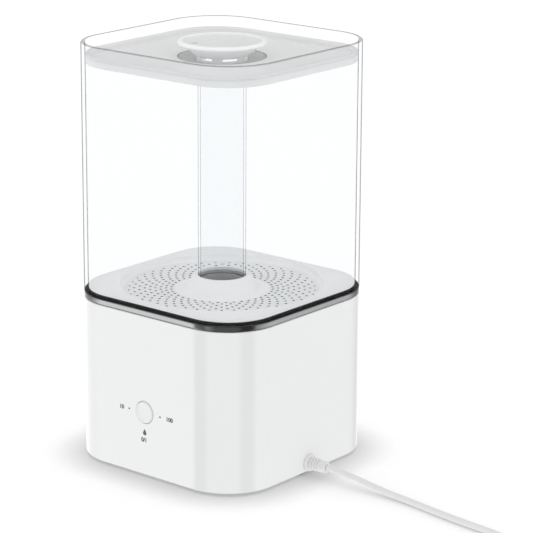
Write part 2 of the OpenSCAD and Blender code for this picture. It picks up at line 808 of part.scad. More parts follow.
module mains_lead() color(black) tube_along(mains_route, 2, 8, 3, aslant);
module dc_lead() color("#b3352b") tube_along(dc_route, lead_r, 8, 3, across);
module fan_lead() color("#b3352b") tube_along(fan_route, lead_r, 8, 3, across);
module disc_lead() color("#d9d9d9") tube_along(disc_route, lead_r, 8, 3, across);
module sensor_lead() color("#e0c23a") tube_along(sensor_route, lead_r, 8, 3, across);
module panel_lead() color("#d9d9d9") tube_along(panel_route, lead_r, 8, 3, aslant);

// ---------- tank ----------

lip_gap = 0.3;
flange_side = trim_in - 2 * drop_gap;

module trim_ring() color(black) {
    around(side) wall_profile(trim_t, z_trim, z_wall, 0.6, 0.6);
    band(trim_in + eps, pan_side + 2 * lip_gap, z_trim, trim_lip_t);
}

module tank_wall() color(clear)
    around(side) wall_profile(tank_t, z_wall, z_tank, 0.3, 1.2);

valve_neck_r = 11;

module tank_floor() color("#eceff0") difference() {
    union() {
        band(flange_side, pan_side - 2 * pan_t, z_trim + trim_lip_t, pan_t);
        band(pan_side, pan_side - 2 * pan_t, z_pan, z_flange - z_pan);
        plate(pan_side - eps, z_pan, pan_t);
        rod(tube_r, z_pan - chimney_drop, z_chimney);
    }
    rod(tube_r - chimney_t, z_pan - chimney_drop - 1, z_chimney + 1);
    translate([valve_x, 0, 0]) rod(valve_neck_r + hole_gap, z_pan - 1, z_pan + pan_t + 1);
}

module tank_seal() color(black)
    band(seal_side, seal_side - 2 * seal_w, z_flange, seal_h);

// strainer: a flat rim, a round dish with rings of holes, and a cone for the mist tube
floor_r = dish_r - dish_round;
cone_in_gap = 0.6;
cone_mid_r = 26.4;
cone_mid_up = 2.6;

module strainer_holes() {
    for (ring = [0:hole_rings - 1], k = [0:holes_in_ring - 1])
        rotate((k + (ring % 2) / 2) * 360 / holes_in_ring)
            translate([hole_first_r + ring * hole_step, 0]) circle(d = hole_d, $fn = 16);
}

module filter_tray() color(white) {
    translate([0, 0, z_seal]) linear_extrude(tray_rim_t) difference() {
        rsq(tray_side, corner(tray_side));
        circle(dish_r + tray_t / 2);
    }
    // dish wall, a quarter curve from the floor up to the rim
    n = 8;
    rotate_extrude($fn = 96) polygon(concat(
        [for (k = [0:n]) [floor_r + dish_round * sin(90 * k / n), z_tray - dish_depth * cos(90 * k / n)]],
        [[dish_r + tray_t, z_tray], [dish_r + tray_t, z_seal]],
        [for (k = [n - 3:-1:0]) [floor_r + (dish_round + tray_t) * sin(90 * k / n),
            z_tray - (dish_depth + tray_t) * cos(90 * k / n)]]));
    translate([0, 0, z_dish - tray_t]) linear_extrude(tray_t) difference() {
        circle(floor_r + eps, $fn = 96);
        circle(cone_foot_r - 1);
        strainer_holes();
    }
    // cone, flaring into the floor at its foot
    flare = cone_foot_r - cone_mid_r;
    rotate_extrude($fn = 96) polygon(concat(
        [for (k = [0:n]) [cone_foot_r - flare * sin(90 * k / n), z_dish + cone_mid_up * (1 - cos(90 * k / n))]],
        [[cone_top_r + 0.5, z_cone - 1], [cone_top_r - 0.3, z_cone - 0.2], [cone_top_r - 0.8, z_cone],
            [tube_r + cone_in_gap, z_cone], [tube_r + cone_in_gap, z_cone - 2],
            [cone_mid_r - tray_t, z_dish + cone_mid_up - tray_t],
            [cone_foot_r - flare / 2 - tray_t, z_dish - tray_t], [cone_foot_r, z_dish - tray_t]]));
}

module mist_tube() color(clear) pipe(tube_r, tube_r - tube_t, z_tube, z_tube_top);

module tube_seal() color("#3a3b3d") pipe(tube_r, tube_r - chimney_t + 0.2, z_chimney, z_tube);

// ---------- refill valve ----------

gasket_r = 15;
valve_flange_t = 2.2;
valve_gasket_t = 1;
z_valve_flange = z_pan - valve_gasket_t - valve_flange_t;
valve_skirt = 3.8;
valve_spider_t = 2;
z_spider = z_valve_flange - valve_skirt;
valve_nut_t = 2.5;
z_seat = z_pan + pan_t + valve_nut_t;
stem_r = 1.5;
valve_seal_t = 1.1;
valve_head_t = 1.6;
spring_l = 5.8;
z_collar = z_spider - spring_l;
collar_t = 1.2;
z_stem = z_collar - collar_t - 1;
z_pin = z_stem - slide_gap;
spring_r = 2.9;
spring_wire = 0.35;
spring_turns = 3.5;

module on_valve() translate([valve_x, 0, 0]) children();

module valve_body() color(inner_white) on_valve() {
    difference() {
        union() {
            rod(gasket_r, z_valve_flange, z_valve_flange + valve_flange_t);
            rod(valve_neck_r, z_valve_flange, z_seat);
            rod(valve_bore + 2.5, z_spider, z_valve_flange + eps);
        }
        rod(valve_bore, z_spider - 1, z_seat + 1);
    }
    difference() {
        union() {
            rod(stem_r + 1.6, z_spider, z_spider + valve_spider_t);
            for (k = [0:2]) rotate(120 * k) translate([0, -0.9, z_spider])
                cube([valve_bore + 0.5, 1.8, valve_spider_t]);
        }
        rod(stem_r + hole_gap, z_spider - 1, z_spider + valve_spider_t + 1);
    }
}

module valve_gasket() color(black) on_valve()
    pipe(gasket_r - 0.5, valve_neck_r + hole_gap, z_pan - valve_gasket_t, z_pan);

module valve_nut() color(inner_white) on_valve() difference() {
    translate([0, 0, z_pan + pan_t]) cylinder(r = gasket_r, h = valve_nut_t - 0.2, $fn = 8);
    rod(valve_neck_r + 0.05, z_pan, z_seat + 1);
}

module valve_plunger() color(white) on_valve() {
    rod(stem_r, z_stem, z_seat + valve_seal_t + 0.5);
    rod(valve_bore + 2, z_seat + valve_seal_t + 0.1, z_seat + valve_seal_t + valve_head_t);
    rod(4, z_collar - collar_t, z_collar);
}

module valve_seal() color(black) on_valve()
    pipe(valve_bore + 1.8, stem_r + 0.05, z_seat + 0.1, z_seat + valve_seal_t);

module valve_spring() color(steel) on_valve() {
    steps = 14;
    total = round(spring_turns * steps);
    rise = spring_l - 2 * spring_wire - 0.2;
    route = [for (k = [0:total]) [spring_r * cos(360 * k / steps), spring_r * sin(360 * k / steps),
        z_collar + spring_wire + 0.1 + rise * k / total]];
    tube_along(route, spring_wire, 6, 1);
}

// ---------- lid and nozzle ----------

groove_h = 0.8;
groove_deep = 0.8;
z_groove = z_lid - 3.1;
bore_in_lid = tube_r - tube_t + 0.3;
seat_deep = 1;

module lid() color(milky) {
    difference() {
        union() {
            around(lid_side) wall_profile(lip_w, z_lid_bottom, z_lid, 0.8, 1.9);
            plate(lid_side - lip_w, z_plate - lid_t, lid_t);
        }
        around(lid_side) translate([-groove_deep, z_groove]) square([groove_deep + 1, groove_h]);
        rod(well_r, z_plate - lid_t - 1, z_plate + 1);
    }
    // well: its wall, and a floor with the seat that the nozzle turns in
    difference() {
        rod(well_r + well_t, z_well, z_plate);
        rod(well_r, z_well + well_t, z_plate + 1);
        rod(bore_in_lid, z_well - 1, z_plate);
        rod(neck_r + slide_gap, z_well + well_t - seat_deep, z_plate);
    }
}

module lid_seal() color(milky)
    around(lid_side) translate([-groove_deep + 0.05, z_groove + 0.05])
        square([groove_deep + 0.1, groove_h - 0.1]);

z_neck = z_well + well_t - seat_deep + slide_gap;
z_flare = z_neck + neck_h;
z_cap = z_flare + flare_h;
z_cap_top = z_cap + cap_rim;
window_low = 1.6;

module nozzle() color(white) difference() {
    rim = cap_rim / 2;
    flare_top = cap_r - 3.7;
    n = 8;
    rotate_extrude($fn = 96) polygon(concat(
        [[neck_r - neck_t, z_neck], [neck_r, z_neck], [neck_r, z_flare], [neck_r + 1.9, z_flare + 0.3],
            [flare_top, z_cap]],
        [for (k = [0:n]) [cap_r - rim + rim * sin(180 * k / n), z_cap + rim - rim * cos(180 * k / n)]],
        [[cap_dish_r, z_cap_top - cap_dish], [0, z_cap_top - cap_dish], [0, z_cap_top - cap_dish - 1.8],
            [flare_top - 3.4, z_cap_top - cap_dish - 1.8], [neck_r - neck_t, z_flare + 0.6]]));
    // mist windows in the neck
    for (k = [0:windows - 1]) rotate((k + 0.5) * 360 / windows)
        translate([neck_r - neck_t - 1, -6, z_neck + window_low])
            cube([neck_t + 2, 12, neck_h - window_low - 0.3]);
    // plain index groove on the cap
    rotate(-117) translate([20, -0.6, z_cap_top - cap_dish - 0.4]) cube([5, 1.2, 1]);
}

// ---------- cord ----------

cord_r = cord_d / 2;
tie_t = 0.6;
tie_side = 0.5;
coil_c = [312, -54];
coil_mid = 11 * cord_d / 2;
coil_in = coil_mid - coil_across * cord_d / 2;
coil_out = coil_mid + coil_across * cord_d / 2;
coil_h = coil_layers * cord_d;
tail_x = coil_c[0] + coil_out - cord_r;
plug_z = 6;

// the free stretch, from the strain relief along the floor to the coil
cord_route = [[106, 0, 9.5], [111, 0, 9.4], [118, 0, 9], [127, 0, 8.2], [138, 0, 6.9],
    [150, 0, 5.3], [163, 0, 3.7], [178, -0.5, 2.7], [196, -2.5, 2.35], [218, -6, 2.35],
    [242, -9, 2.35], [264, -11, 2.35], [284, -15, 2.5], [299, -19.4, 2.8], [312, -21.1, 2.95]];
// the end that leaves the coil's top layer for the plug
tail_route = [[344.9, -54, 7.65], [344.9, -62, 7.5], [344.9, -70, 7.1], [344.9, -78, 6.4],
    [344.9, -84, 6.05], [344.9, -89.9, 6]];

module power_cord() color(white) tube_along(cord_route, cord_r, 8, 3);

module power_cord_coil() color(white) translate([coil_c[0], coil_c[1], 0])
    pipe(coil_out, coil_in, tie_t, tie_t + coil_h);

module power_cord_tail() color(white) tube_along(tail_route, cord_r, 8, 2);

module cord_tie() color(black) translate([coil_c[0], coil_c[1], 0]) rotate(215)
    translate([coil_mid, 3, (coil_h + 2 * tie_t) / 2]) rotate([90, 0, 0]) linear_extrude(6) difference() {
        square([coil_out - coil_in + 2 * tie_side + 1.6, coil_h + 2 * tie_t], center = true);
        square([coil_out - coil_in + 2 * tie_side, coil_h + 0.02], center = true);
    }

plug_y = -90;
plug_relief = 12;
plug_grip = 12;
plug_head = 16;
plug_w = 24;
blade = [1.5, 17.5, 6.35];
blade_pitch = 12.7;

module soft_box(w, h, r) {
    square([w, h - 2 * r], center = true);
    square([w - 2 * r, h], center = true);
    for (x = [-1, 1], z = [-1, 1]) translate([x * (w / 2 - r), z * (h / 2 - r)]) circle(r);
}

module plug_body() color(white) translate([tail_x, plug_y, plug_z]) rotate([90, 0, 0]) {
    rotate_extrude() polygon([[0, 0], [cord_r + 0.5, 0], [cord_r + 2.2, plug_relief], [0, plug_relief]]);
    translate([0, 0, plug_relief - eps]) linear_extrude(plug_grip) soft_box(16, 10.4, 3);
    translate([0, 0, plug_relief + plug_grip - 2 * eps]) linear_extrude(plug_head)
        soft_box(plug_w, 2 * plug_z, 4);
}

module plug_pins() color("#c8b26a") for (x = [-1, 1])
    translate([tail_x + x * blade_pitch / 2, plug_y - plug_relief - plug_grip - plug_head + 2 * eps, plug_z])
        difference() {
            translate([-blade[0] / 2, -blade[1], -blade[2] / 2]) cube(blade);
            rod_x(1.6, -blade[1] + 3.5, 0, -2, 2);
        }

base_housing();
base_bottom();
feet();
bottom_screws();
water_basin();
basin_seal();
transducer_disc();
transducer_seal();
transducer_plate();
transducer_screws();
float_ring();
float_clip();
level_sensor();
fan_frame();
fan_impeller();
fan_screws();
air_duct();
driver_board();
driver_parts();
heat_sink();
power_board();
power_parts();
board_screws();
panel_board();
panel_screws();
panel_light();
indicator_lens();
pot_body();
pot_nut();
pot_shaft();
knob();
mains_lead();
dc_lead();
fan_lead();
disc_lead();
sensor_lead();
panel_lead();
trim_ring();
tank_wall();
tank_floor();
tank_seal();
filter_tray();
mist_tube();
tube_seal();
valve_body();
valve_gasket();
valve_nut();
valve_plunger();
valve_seal();
valve_spring();
lid();
lid_seal();
nozzle();
strain_relief();
power_cord();
power_cord_coil();
power_cord_tail();
cord_tie();
plug_body();
plug_pins();
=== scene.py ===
# %% [markdown]
# # A cool mist humidifier
#
# The object is a white base with a control, a clear tank that lifts off it, a strainer tray,
# a mist tube up the middle, and a milky lid with a round nozzle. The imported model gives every
# piece at its real size. This script builds the outer pieces again with smooth surfaces and
# rounded edges, gives every piece its finish, lays the cord, and lights the whole.

# %% Load the fixed frame
import json
import math

import bpy
import bmesh
from mathutils import Matrix, Vector


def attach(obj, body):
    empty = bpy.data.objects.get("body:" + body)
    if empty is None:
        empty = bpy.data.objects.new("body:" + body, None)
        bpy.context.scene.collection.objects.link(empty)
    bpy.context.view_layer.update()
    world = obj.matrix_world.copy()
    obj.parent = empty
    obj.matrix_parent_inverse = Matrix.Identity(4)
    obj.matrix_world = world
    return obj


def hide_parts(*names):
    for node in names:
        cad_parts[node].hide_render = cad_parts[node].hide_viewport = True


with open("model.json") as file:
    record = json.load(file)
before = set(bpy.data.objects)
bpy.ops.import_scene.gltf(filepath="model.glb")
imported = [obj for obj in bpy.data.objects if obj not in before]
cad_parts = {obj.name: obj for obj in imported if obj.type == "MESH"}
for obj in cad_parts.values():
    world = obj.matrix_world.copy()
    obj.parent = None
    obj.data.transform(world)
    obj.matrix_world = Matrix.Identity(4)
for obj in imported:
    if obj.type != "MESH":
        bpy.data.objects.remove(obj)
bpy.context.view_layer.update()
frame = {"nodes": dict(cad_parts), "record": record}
nodes = frame["nodes"]
scene = bpy.context.scene
MM = 0.001

# %% [markdown]
# The camera stands well back with a long lens, so that the tall sides stay almost parallel.
# It is placed by an azimuth and an elevation round a point on the object's axis. A small lens
# shift frames the object off centre without turning the camera, which keeps its verticals.

# %% Camera
AIM = Vector((0, 0, 0.1653))
CAMERA_DISTANCE = 1.88686
AZIMUTH = math.radians(40.758)
ELEVATION = math.radians(15.357)


def away(azimuth, elevation):
    """The direction from the object to something that stands at this azimuth and elevation."""
    flat = math.cos(elevation)
    return Vector((math.sin(azimuth) * flat, -math.cos(azimuth) * flat, math.sin(elevation)))


camera_data = bpy.data.cameras.new("camera")
camera_data.lens = 164.6
camera_data.sensor_width = 36
camera_data.shift_x = 0.0834
camera_data.shift_y = -0.0366
camera_data.clip_end = 50
camera = bpy.data.objects.new("camera", camera_data)
scene.collection.objects.link(camera)
camera.location = AIM + CAMERA_DISTANCE * away(AZIMUTH, ELEVATION)
camera.rotation_euler = (AIM - camera.location).to_track_quat("-Z", "Y").to_euler()
scene.camera = camera
print("camera stands at", [round(x, 3) for x in camera.location])

# %% [markdown]
# The mains cord is a flat twin lead: two round cores side by side in one skin. It leaves the
# base through the strain relief, comes down to the table in a shallow slope and runs off in a
# loose curve. What is left of its length is wound in a neat round coil in a tie. The route is
# a list of given points, and the coil's turns are worked out by a loop.

# %% Cord route: the free stretch, the coil's turns and the end at the plug
CORD_D = 4.7 * MM
TIE_T = 0.6 * MM
COIL_CENTRE = Vector((312 * MM, -54 * MM, 0))
COIL_ACROSS = 4
COIL_MIDDLE = 11 * CORD_D / 2
COIL_LOW = TIE_T + CORD_D / 2
free_route = [(106, 0, 9.5), (111, 0, 9.4), (118, 0, 9), (127, 0, 8.2), (138, 0, 6.9),
              (150, 0, 5.3), (163, 0, 3.7), (178, -0.5, 2.7), (196, -2.5, 2.35),
              (218, -6, 2.35), (242, -9, 2.35), (264, -11, 2.35), (284, -15, 2.5),
              (299, -19.4, 2.8), (312, -21.1, 2.95)]
tail_route = [(344.9, -54, 7.65), (344.9, -62, 7.5), (344.9, -70, 7.1), (344.9, -78, 6.4),
              (344.9, -84, 6.05), (344.9, -89.9, 6)]


def metres(points):
    return [Vector(p) * MM for p in points]


def smooth_route(points, steps):
    """A smooth line through the points, with that many steps from each to the next."""
    line = []
    last = len(points) - 1
    for i in range(last):
        a, b, c, d = (points[max(i - 1, 0)], points[i], points[i + 1], points[min(i + 2, last)])
        for k in range(steps):
            u = k / steps
            line.append(0.5 * (2 * b + (c - a) * u + (2 * a - 5 * b + 4 * c - d) * u ** 2
                               + (3 * b - a - 3 * c + d) * u ** 3))
    return line + [points[last]]


def coil_turns(steps):
    """Winds in on the lower layer, steps up, and winds out on the upper one.

    It starts at the side away from the control's face and ends a quarter turn further on.
    """
    outer = COIL_MIDDLE + (COIL_ACROSS - 1) * CORD_D / 2
    turns = 2 * COIL_ACROSS + 0.25
    line = []
    for k in range(1, int(turns * steps)):
        turn = k / steps
        angle = math.pi / 2 - math.tau * turn
        inward = min(turn, COIL_ACROSS - 0.5) * (COIL_ACROSS - 1) / (COIL_ACROSS - 0.5)
        outward = max(turn - COIL_ACROSS - 0.25, 0) * (COIL_ACROSS - 1) / (COIL_ACROSS - 0.5)
        radius = outer - CORD_D * (inward - min(outward, COIL_ACROSS - 1))
        climb = min(max((turn - COIL_ACROSS + 0.5) / 0.75, 0), 1)
        height = COIL_LOW + CORD_D * climb * climb * (3 - 2 * climb)
        line.append(COIL_CENTRE + Vector((radius * math.cos(angle), radius * math.sin(angle),
                                          height)))
    return line


cord_line = smooth_route(metres(free_route), 4) + coil_turns(36) + smooth_route(
    metres(tail_route), 4)

# %% [markdown]
# Most pieces here are either turned or square. A turned piece is one outline spun round an
# axis. A square piece is the same kind of outline carried round a rounded square. So both
# start from a list of corners, each with the radius that it is rounded to.

# %% Outlines with rounded corners
BODY_HALF = 88 * MM
BODY_CORNER = 42 * MM
ROUND_WITHIN = 40 * MM


def outline(corners, steps=4):
    """Rounds a line of (x, z, radius) corners in millimetres, and gives points in metres."""
    points = []
    count = len(corners)
    for i, (x, z, radius) in enumerate(corners):
        here = Vector((x, z))
        if not radius:
            points.append(here * MM)
            continue
        back = (Vector(corners[i - 1][:2]) - here).normalized()
        ahead = (Vector(corners[(i + 1) % count][:2]) - here).normalized()
        half = back.angle(ahead) / 2
        middle = here + (back + ahead).normalized() * radius / math.sin(half)
        first = here + back * radius / math.tan(half) - middle
        last = here + ahead * radius / math.tan(half) - middle
        sweep = math.pi - 2 * half
        for k in range(steps + 1):
            u = k / steps
            spoke = (first * math.sin((1 - u) * sweep) + last * math.sin(u * sweep))
            points.append((middle + spoke / math.sin(sweep)) * MM)
    return points


def turned(corners, steps=96, closed=True, rounding=4):
    """A bmesh of the outline spun round Z. An open outline starts and ends on the axis."""
    bm = bmesh.new()
    ends = [bm.verts.new((p.x, 0, p.y)) for p in outline(corners, rounding)]
    pairs = list(zip(ends, ends[1:])) + ([(ends[-1], ends[0])] if closed else [])
    lines = [bm.edges.new(pair) for pair in pairs]
    bmesh.ops.spin(bm, geom=ends + lines, cent=(0, 0, 0), axis=(0, 0, 1), angle=math.tau,
                   steps=steps, use_merge=True)
    bmesh.ops.remove_doubles(bm, verts=bm.verts, dist=1e-7)
    return bm


def square_ring(bm, half, height, segments=24):
    """Points round a square of that half side, its corners rounded to match the body."""
    corners = bmesh.ops.create_grid(bm, x_segments=1, y_segments=1, size=half)["verts"]
    bmesh.ops.bevel(bm, geom=corners, offset=BODY_CORNER - (BODY_HALF - half),
                    segments=segments, profile=0.5, affect="VERTICES", material=-1)
    bm.faces.ensure_lookup_table()
    face = bm.faces[0]
    points = list(face.verts)
    bmesh.ops.translate(bm, vec=(0, 0, height), verts=points)
    bmesh.ops.delete(bm, geom=[face], context="FACES_ONLY")
    return by_angle(points)


def round_ring(bm, radius, height, segments=100):
    """Points round a circle, as many as a square ring has."""
    points = bmesh.ops.create_circle(bm, cap_ends=False, segments=segments,
                                     radius=radius)["verts"]
    bmesh.ops.translate(bm, vec=(0, 0, height), verts=points)
    return by_angle(points)


def by_angle(points):
    """Points in order round the upright axis."""
    return sorted(points, key=lambda v: (math.atan2(v.co.y, v.co.x) + 1e-4) % math.tau)


def carried(corners, rounding=4):
    """A bmesh of the closed outline carried round the body's rounded square.

    Points near the axis are carried round a circle instead.
    """
    bm = bmesh.new()
    rings = [(round_ring if p.x < ROUND_WITHIN else square_ring)(bm, p.x, p.y)
             for p in outline(corners, rounding)]
    for a, b in zip(rings, rings[1:] + rings[:1]):
        for i, v in enumerate(a):
            bm.faces.new((v, a[i - 1], b[i - 1], b[i]))
    return bm


def bridged(bm, rings):
    """Joins loops of edges in a row by bands of faces, and closes both ends."""
    for a, b in zip(rings, rings[1:]):
        bmesh.ops.bridge_loops(bm, edges=a + b)
    bmesh.ops.holes_fill(bm, edges=[e for e in bm.edges if e.is_boundary], sides=0)
    return bm


def block(width, depth, height):
    """A block round the origin, in millimetres."""
    bm = bmesh.new()
    bmesh.ops.create_cube(bm, size=1)
    bmesh.ops.scale(bm, vec=(width * MM, depth * MM, height * MM), verts=bm.verts)
    return bm


def softened(bm, edges, radius, segments):
    """Rounds edges to a radius in millimetres."""
    bmesh.ops.bevel(bm, geom=edges, offset=radius * MM, segments=segments, profile=0.5,
                    affect="EDGES", material=-1)
    return bm


# %% [markdown]
# Every piece is finished the same way. Its faces are turned to point outwards, its smooth
# stretches are shaded smooth and its edges kept sharp, and it is told which body it moves
# with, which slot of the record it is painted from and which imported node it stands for. The
# cord and its strain relief do not show in the shell's gloss, as they do not in the photo.

# %% Make a piece of a bmesh
SHARP = math.radians(38)
NOT_MIRRORED = ("cord_strain_relief", "mains_cord")


def piece(name, bm, body, material, replaced=(), flat=False):
    """Turns a bmesh into a finished object that rides on a body.

    flat keeps large flat faces flat in the shading, where they run into rounded corners.
    """
    bmesh.ops.remove_doubles(bm, verts=bm.verts, dist=1e-7)
    bmesh.ops.recalc_face_normals(bm, faces=bm.faces)
    for face in bm.faces:
        face.smooth = True
    for edge in bm.edges:
        edge.smooth = len(edge.link_faces) == 2 and edge.calc_face_angle(0) < SHARP
    mesh = bpy.data.meshes.new(name)
    bm.to_mesh(mesh)
    bm.free()
    mesh.materials.append(material)
    made = bpy.data.objects.new(name, mesh)
    scene.collection.objects.link(made)
    made.visible_glossy = name not in NOT_MIRRORED
    if flat:
        weigh = made.modifiers.new("weigh", "WEIGHTED_NORMAL")
        weigh.keep_sharp = True
        weigh.weight = 100
    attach(made, body)
    if replaced:
        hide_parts(*replaced)
    print(name, len(mesh.polygons), "faces")
    return made


def moved(bm, turn=Matrix.Identity(4), to=(0, 0, 0)):
    """Turns a bmesh and carries it to its place."""
    bmesh.ops.transform(bm, matrix=Matrix.Translation(Vector(to)) @ turn, verts=bm.verts)
    return bm


def joined(*parts):
    """One bmesh of several."""
    whole = parts[0]
    for part in parts[1:]:
        loose = bpy.data.meshes.new("loose")
        part.to_mesh(loose)
        part.free()
        whole.from_mesh(loose)
        bpy.data.meshes.remove(loose)
    return whole


FRONT = Matrix.Rotation(math.pi / 2, 4, "X")      # carries +Z to -Y
SIDEWAYS = Matrix.Rotation(math.pi / 2, 4, "Y")   # carries +Z to +X


def combined(how, target, *others):
    """Joins solid shapes to a bmesh, or takes them out of it, and gives the new bmesh."""
    helpers = []
    for bm in (target, *others):
        bmesh.ops.recalc_face_normals(bm, faces=bm.faces)
        mesh = bpy.data.meshes.new("helper")
        bm.to_mesh(mesh)
        bm.free()
        helpers.append(bpy.data.objects.new("helper", mesh))
        scene.collection.objects.link(helpers[-1])
    for helper in helpers[1:]:
        step = helpers[0].modifiers.new("step", "BOOLEAN")
        step.operation = how
        step.solver = "EXACT"
        step.object = helper
    bpy.context.view_layer.update()
    shaped = helpers[0].evaluated_get(bpy.context.evaluated_depsgraph_get())
    result = bmesh.new()
    result.from_mesh(shaped.to_mesh())
    shaped.to_mesh_clear()
    for helper in helpers:
        mesh = helper.data
        bpy.data.objects.remove(helper)
        bpy.data.meshes.remove(mesh)
    return result


# %% [markdown]
# Moulded plastic is never quite even. Its colour drifts a little over a hand's width, its
# gloss changes a little more, and its skin has the faint ripple or grain of the mould. One
# function makes all the plastics, rubbers and paints from those three, and the constants that
# are the same all over a surface go straight on the shader.

# %% Moulded finishes
def add(tree, kind, **values):
    """A node of that kind with those settings or inputs."""
    node = tree.nodes.new(kind)
    for key, value in values.items():
        if hasattr(node, key):
            setattr(node, key, value)
        else:
            node.inputs[key.replace("_", " ")].default_value = value
    return node


def maths(tree, operation, *values):
    """The result of a sum. Each value is a socket or a plain number."""
    node = add(tree, "ShaderNodeMath", operation=operation)
    for slot, value in zip(node.inputs, values):
        if isinstance(value, (int, float)):
            slot.default_value = value
        else:
            tree.links.new(value, slot)
    return node.outputs["Value"]


def ramped(tree, value, low, high, to_low=0.0, to_high=1.0, interpolation="LINEAR"):
    """Carries a value from one range to another, and holds it past the ends."""
    node = add(tree, "ShaderNodeMapRange", interpolation_type=interpolation)
    for name, number in (("From Min", low), ("From Max", high), ("To Min", to_low),
                         ("To Max", to_high)):
        node.inputs[name].default_value = number
    tree.links.new(value, node.inputs["Value"])
    return node.outputs["Result"]


def mixed(tree, share, first, second):
    """A shader that passes from one to another by a share."""
    node = add(tree, "ShaderNodeMixShader")
    for slot, source in zip(node.inputs, (share, first, second)):
        tree.links.new(source, slot)
    return node.outputs["Shader"]


def seen_directly(rays):
    """1 for what the camera sees, straight or through something clear."""
    return maths(rays.id_data, "MAXIMUM", rays.outputs["Is Camera Ray"],
                 rays.outputs["Is Transmission Ray"])


def new_material(name):
    """An empty node material, its tree and its output."""
    material = bpy.data.materials.new(name)
    material.use_nodes = True
    tree = material.node_tree
    tree.nodes.clear()
    return material, tree, tree.nodes.new("ShaderNodeOutputMaterial")


def moulded(name, colour, rough, drift=0.02, grain=0.0, grain_size=0.4, ripple=0.0, metal=0.0,
            coat=0.0, through=0.0, milky=0.0, spread=0.04, passes=0.0):
    """A plastic, rubber, foam or metal finish.

    drift is how much the colour wanders, grain and ripple are heights in millimetres of the
    fine and the wide unevenness, spread is how much the roughness wanders, milky is how much
    light goes round inside, and passes is the share that gets through to what it shades.
    """
    material, tree, out = new_material(name)
    link = tree.links.new
    place = add(tree, "ShaderNodeTexCoord")
    shader = add(tree, "ShaderNodeBsdfPrincipled", Metallic=metal, IOR=1.5)
    shader.inputs["Coat Weight"].default_value = coat
    shader.inputs["Coat Roughness"].default_value = 0.06
    shader.inputs["Transmission Weight"].default_value = through
    if milky:
        shader.inputs["Subsurface Weight"].default_value = milky
        shader.inputs["Subsurface Radius"].default_value = (1.0, 0.95, 0.9)
        shader.inputs["Subsurface Scale"].default_value = 0.003
    wide = add(tree, "ShaderNodeTexNoise", Scale=22.0, Detail=3.0, Roughness=0.55)
    link(place.outputs["Object"], wide.inputs["Vector"])
    tones = add(tree, "ShaderNodeValToRGB")
    tones.color_ramp.elements[0].position = 0.3
    tones.color_ramp.elements[1].position = 0.7
    tones.color_ramp.elements[0].color = [c * (1 - drift) for c in colour] + [1]
    tones.color_ramp.elements[1].color = [min(c * (1 + drift), 1) for c in colour] + [1]
    link(wide.outputs["Fac"], tones.inputs["Fac"])
    link(tones.outputs["Color"], shader.inputs["Base Color"])
    fine = add(tree, "ShaderNodeTexNoise", Scale=1000 * 0.6 / grain_size, Detail=2.0)
    link(place.outputs["Object"], fine.inputs["Vector"])
    gloss = ramped(tree, (fine if grain else wide).outputs["Fac"], 0.3, 0.7,
                   max(rough - spread, 0.0), min(rough + spread, 1.0))
    link(gloss, shader.inputs["Roughness"])
    last = None
    for height, source in ((ripple, wide), (grain, fine)):
        if height:
            bump = add(tree, "ShaderNodeBump", Strength=1.0, Distance=height * MM)
            link(source.outputs["Fac"], bump.inputs["Height"])
            if last:
                link(last.outputs["Normal"], bump.inputs["Normal"])
            last = bump
    if last:
        link(last.outputs["Normal"], shader.inputs["Normal"])
    surface = shader.outputs["BSDF"]
    if passes:
        rays = add(tree, "ShaderNodeLightPath")
        share = maths(tree, "MULTIPLY", rays.outputs["Is Shadow Ray"], passes)
        clear = add(tree, "ShaderNodeBsdfTransparent")
        surface = mixed(tree, share, surface, clear.outputs["BSDF"])
    link(surface, out.inputs["Surface"])
    return material


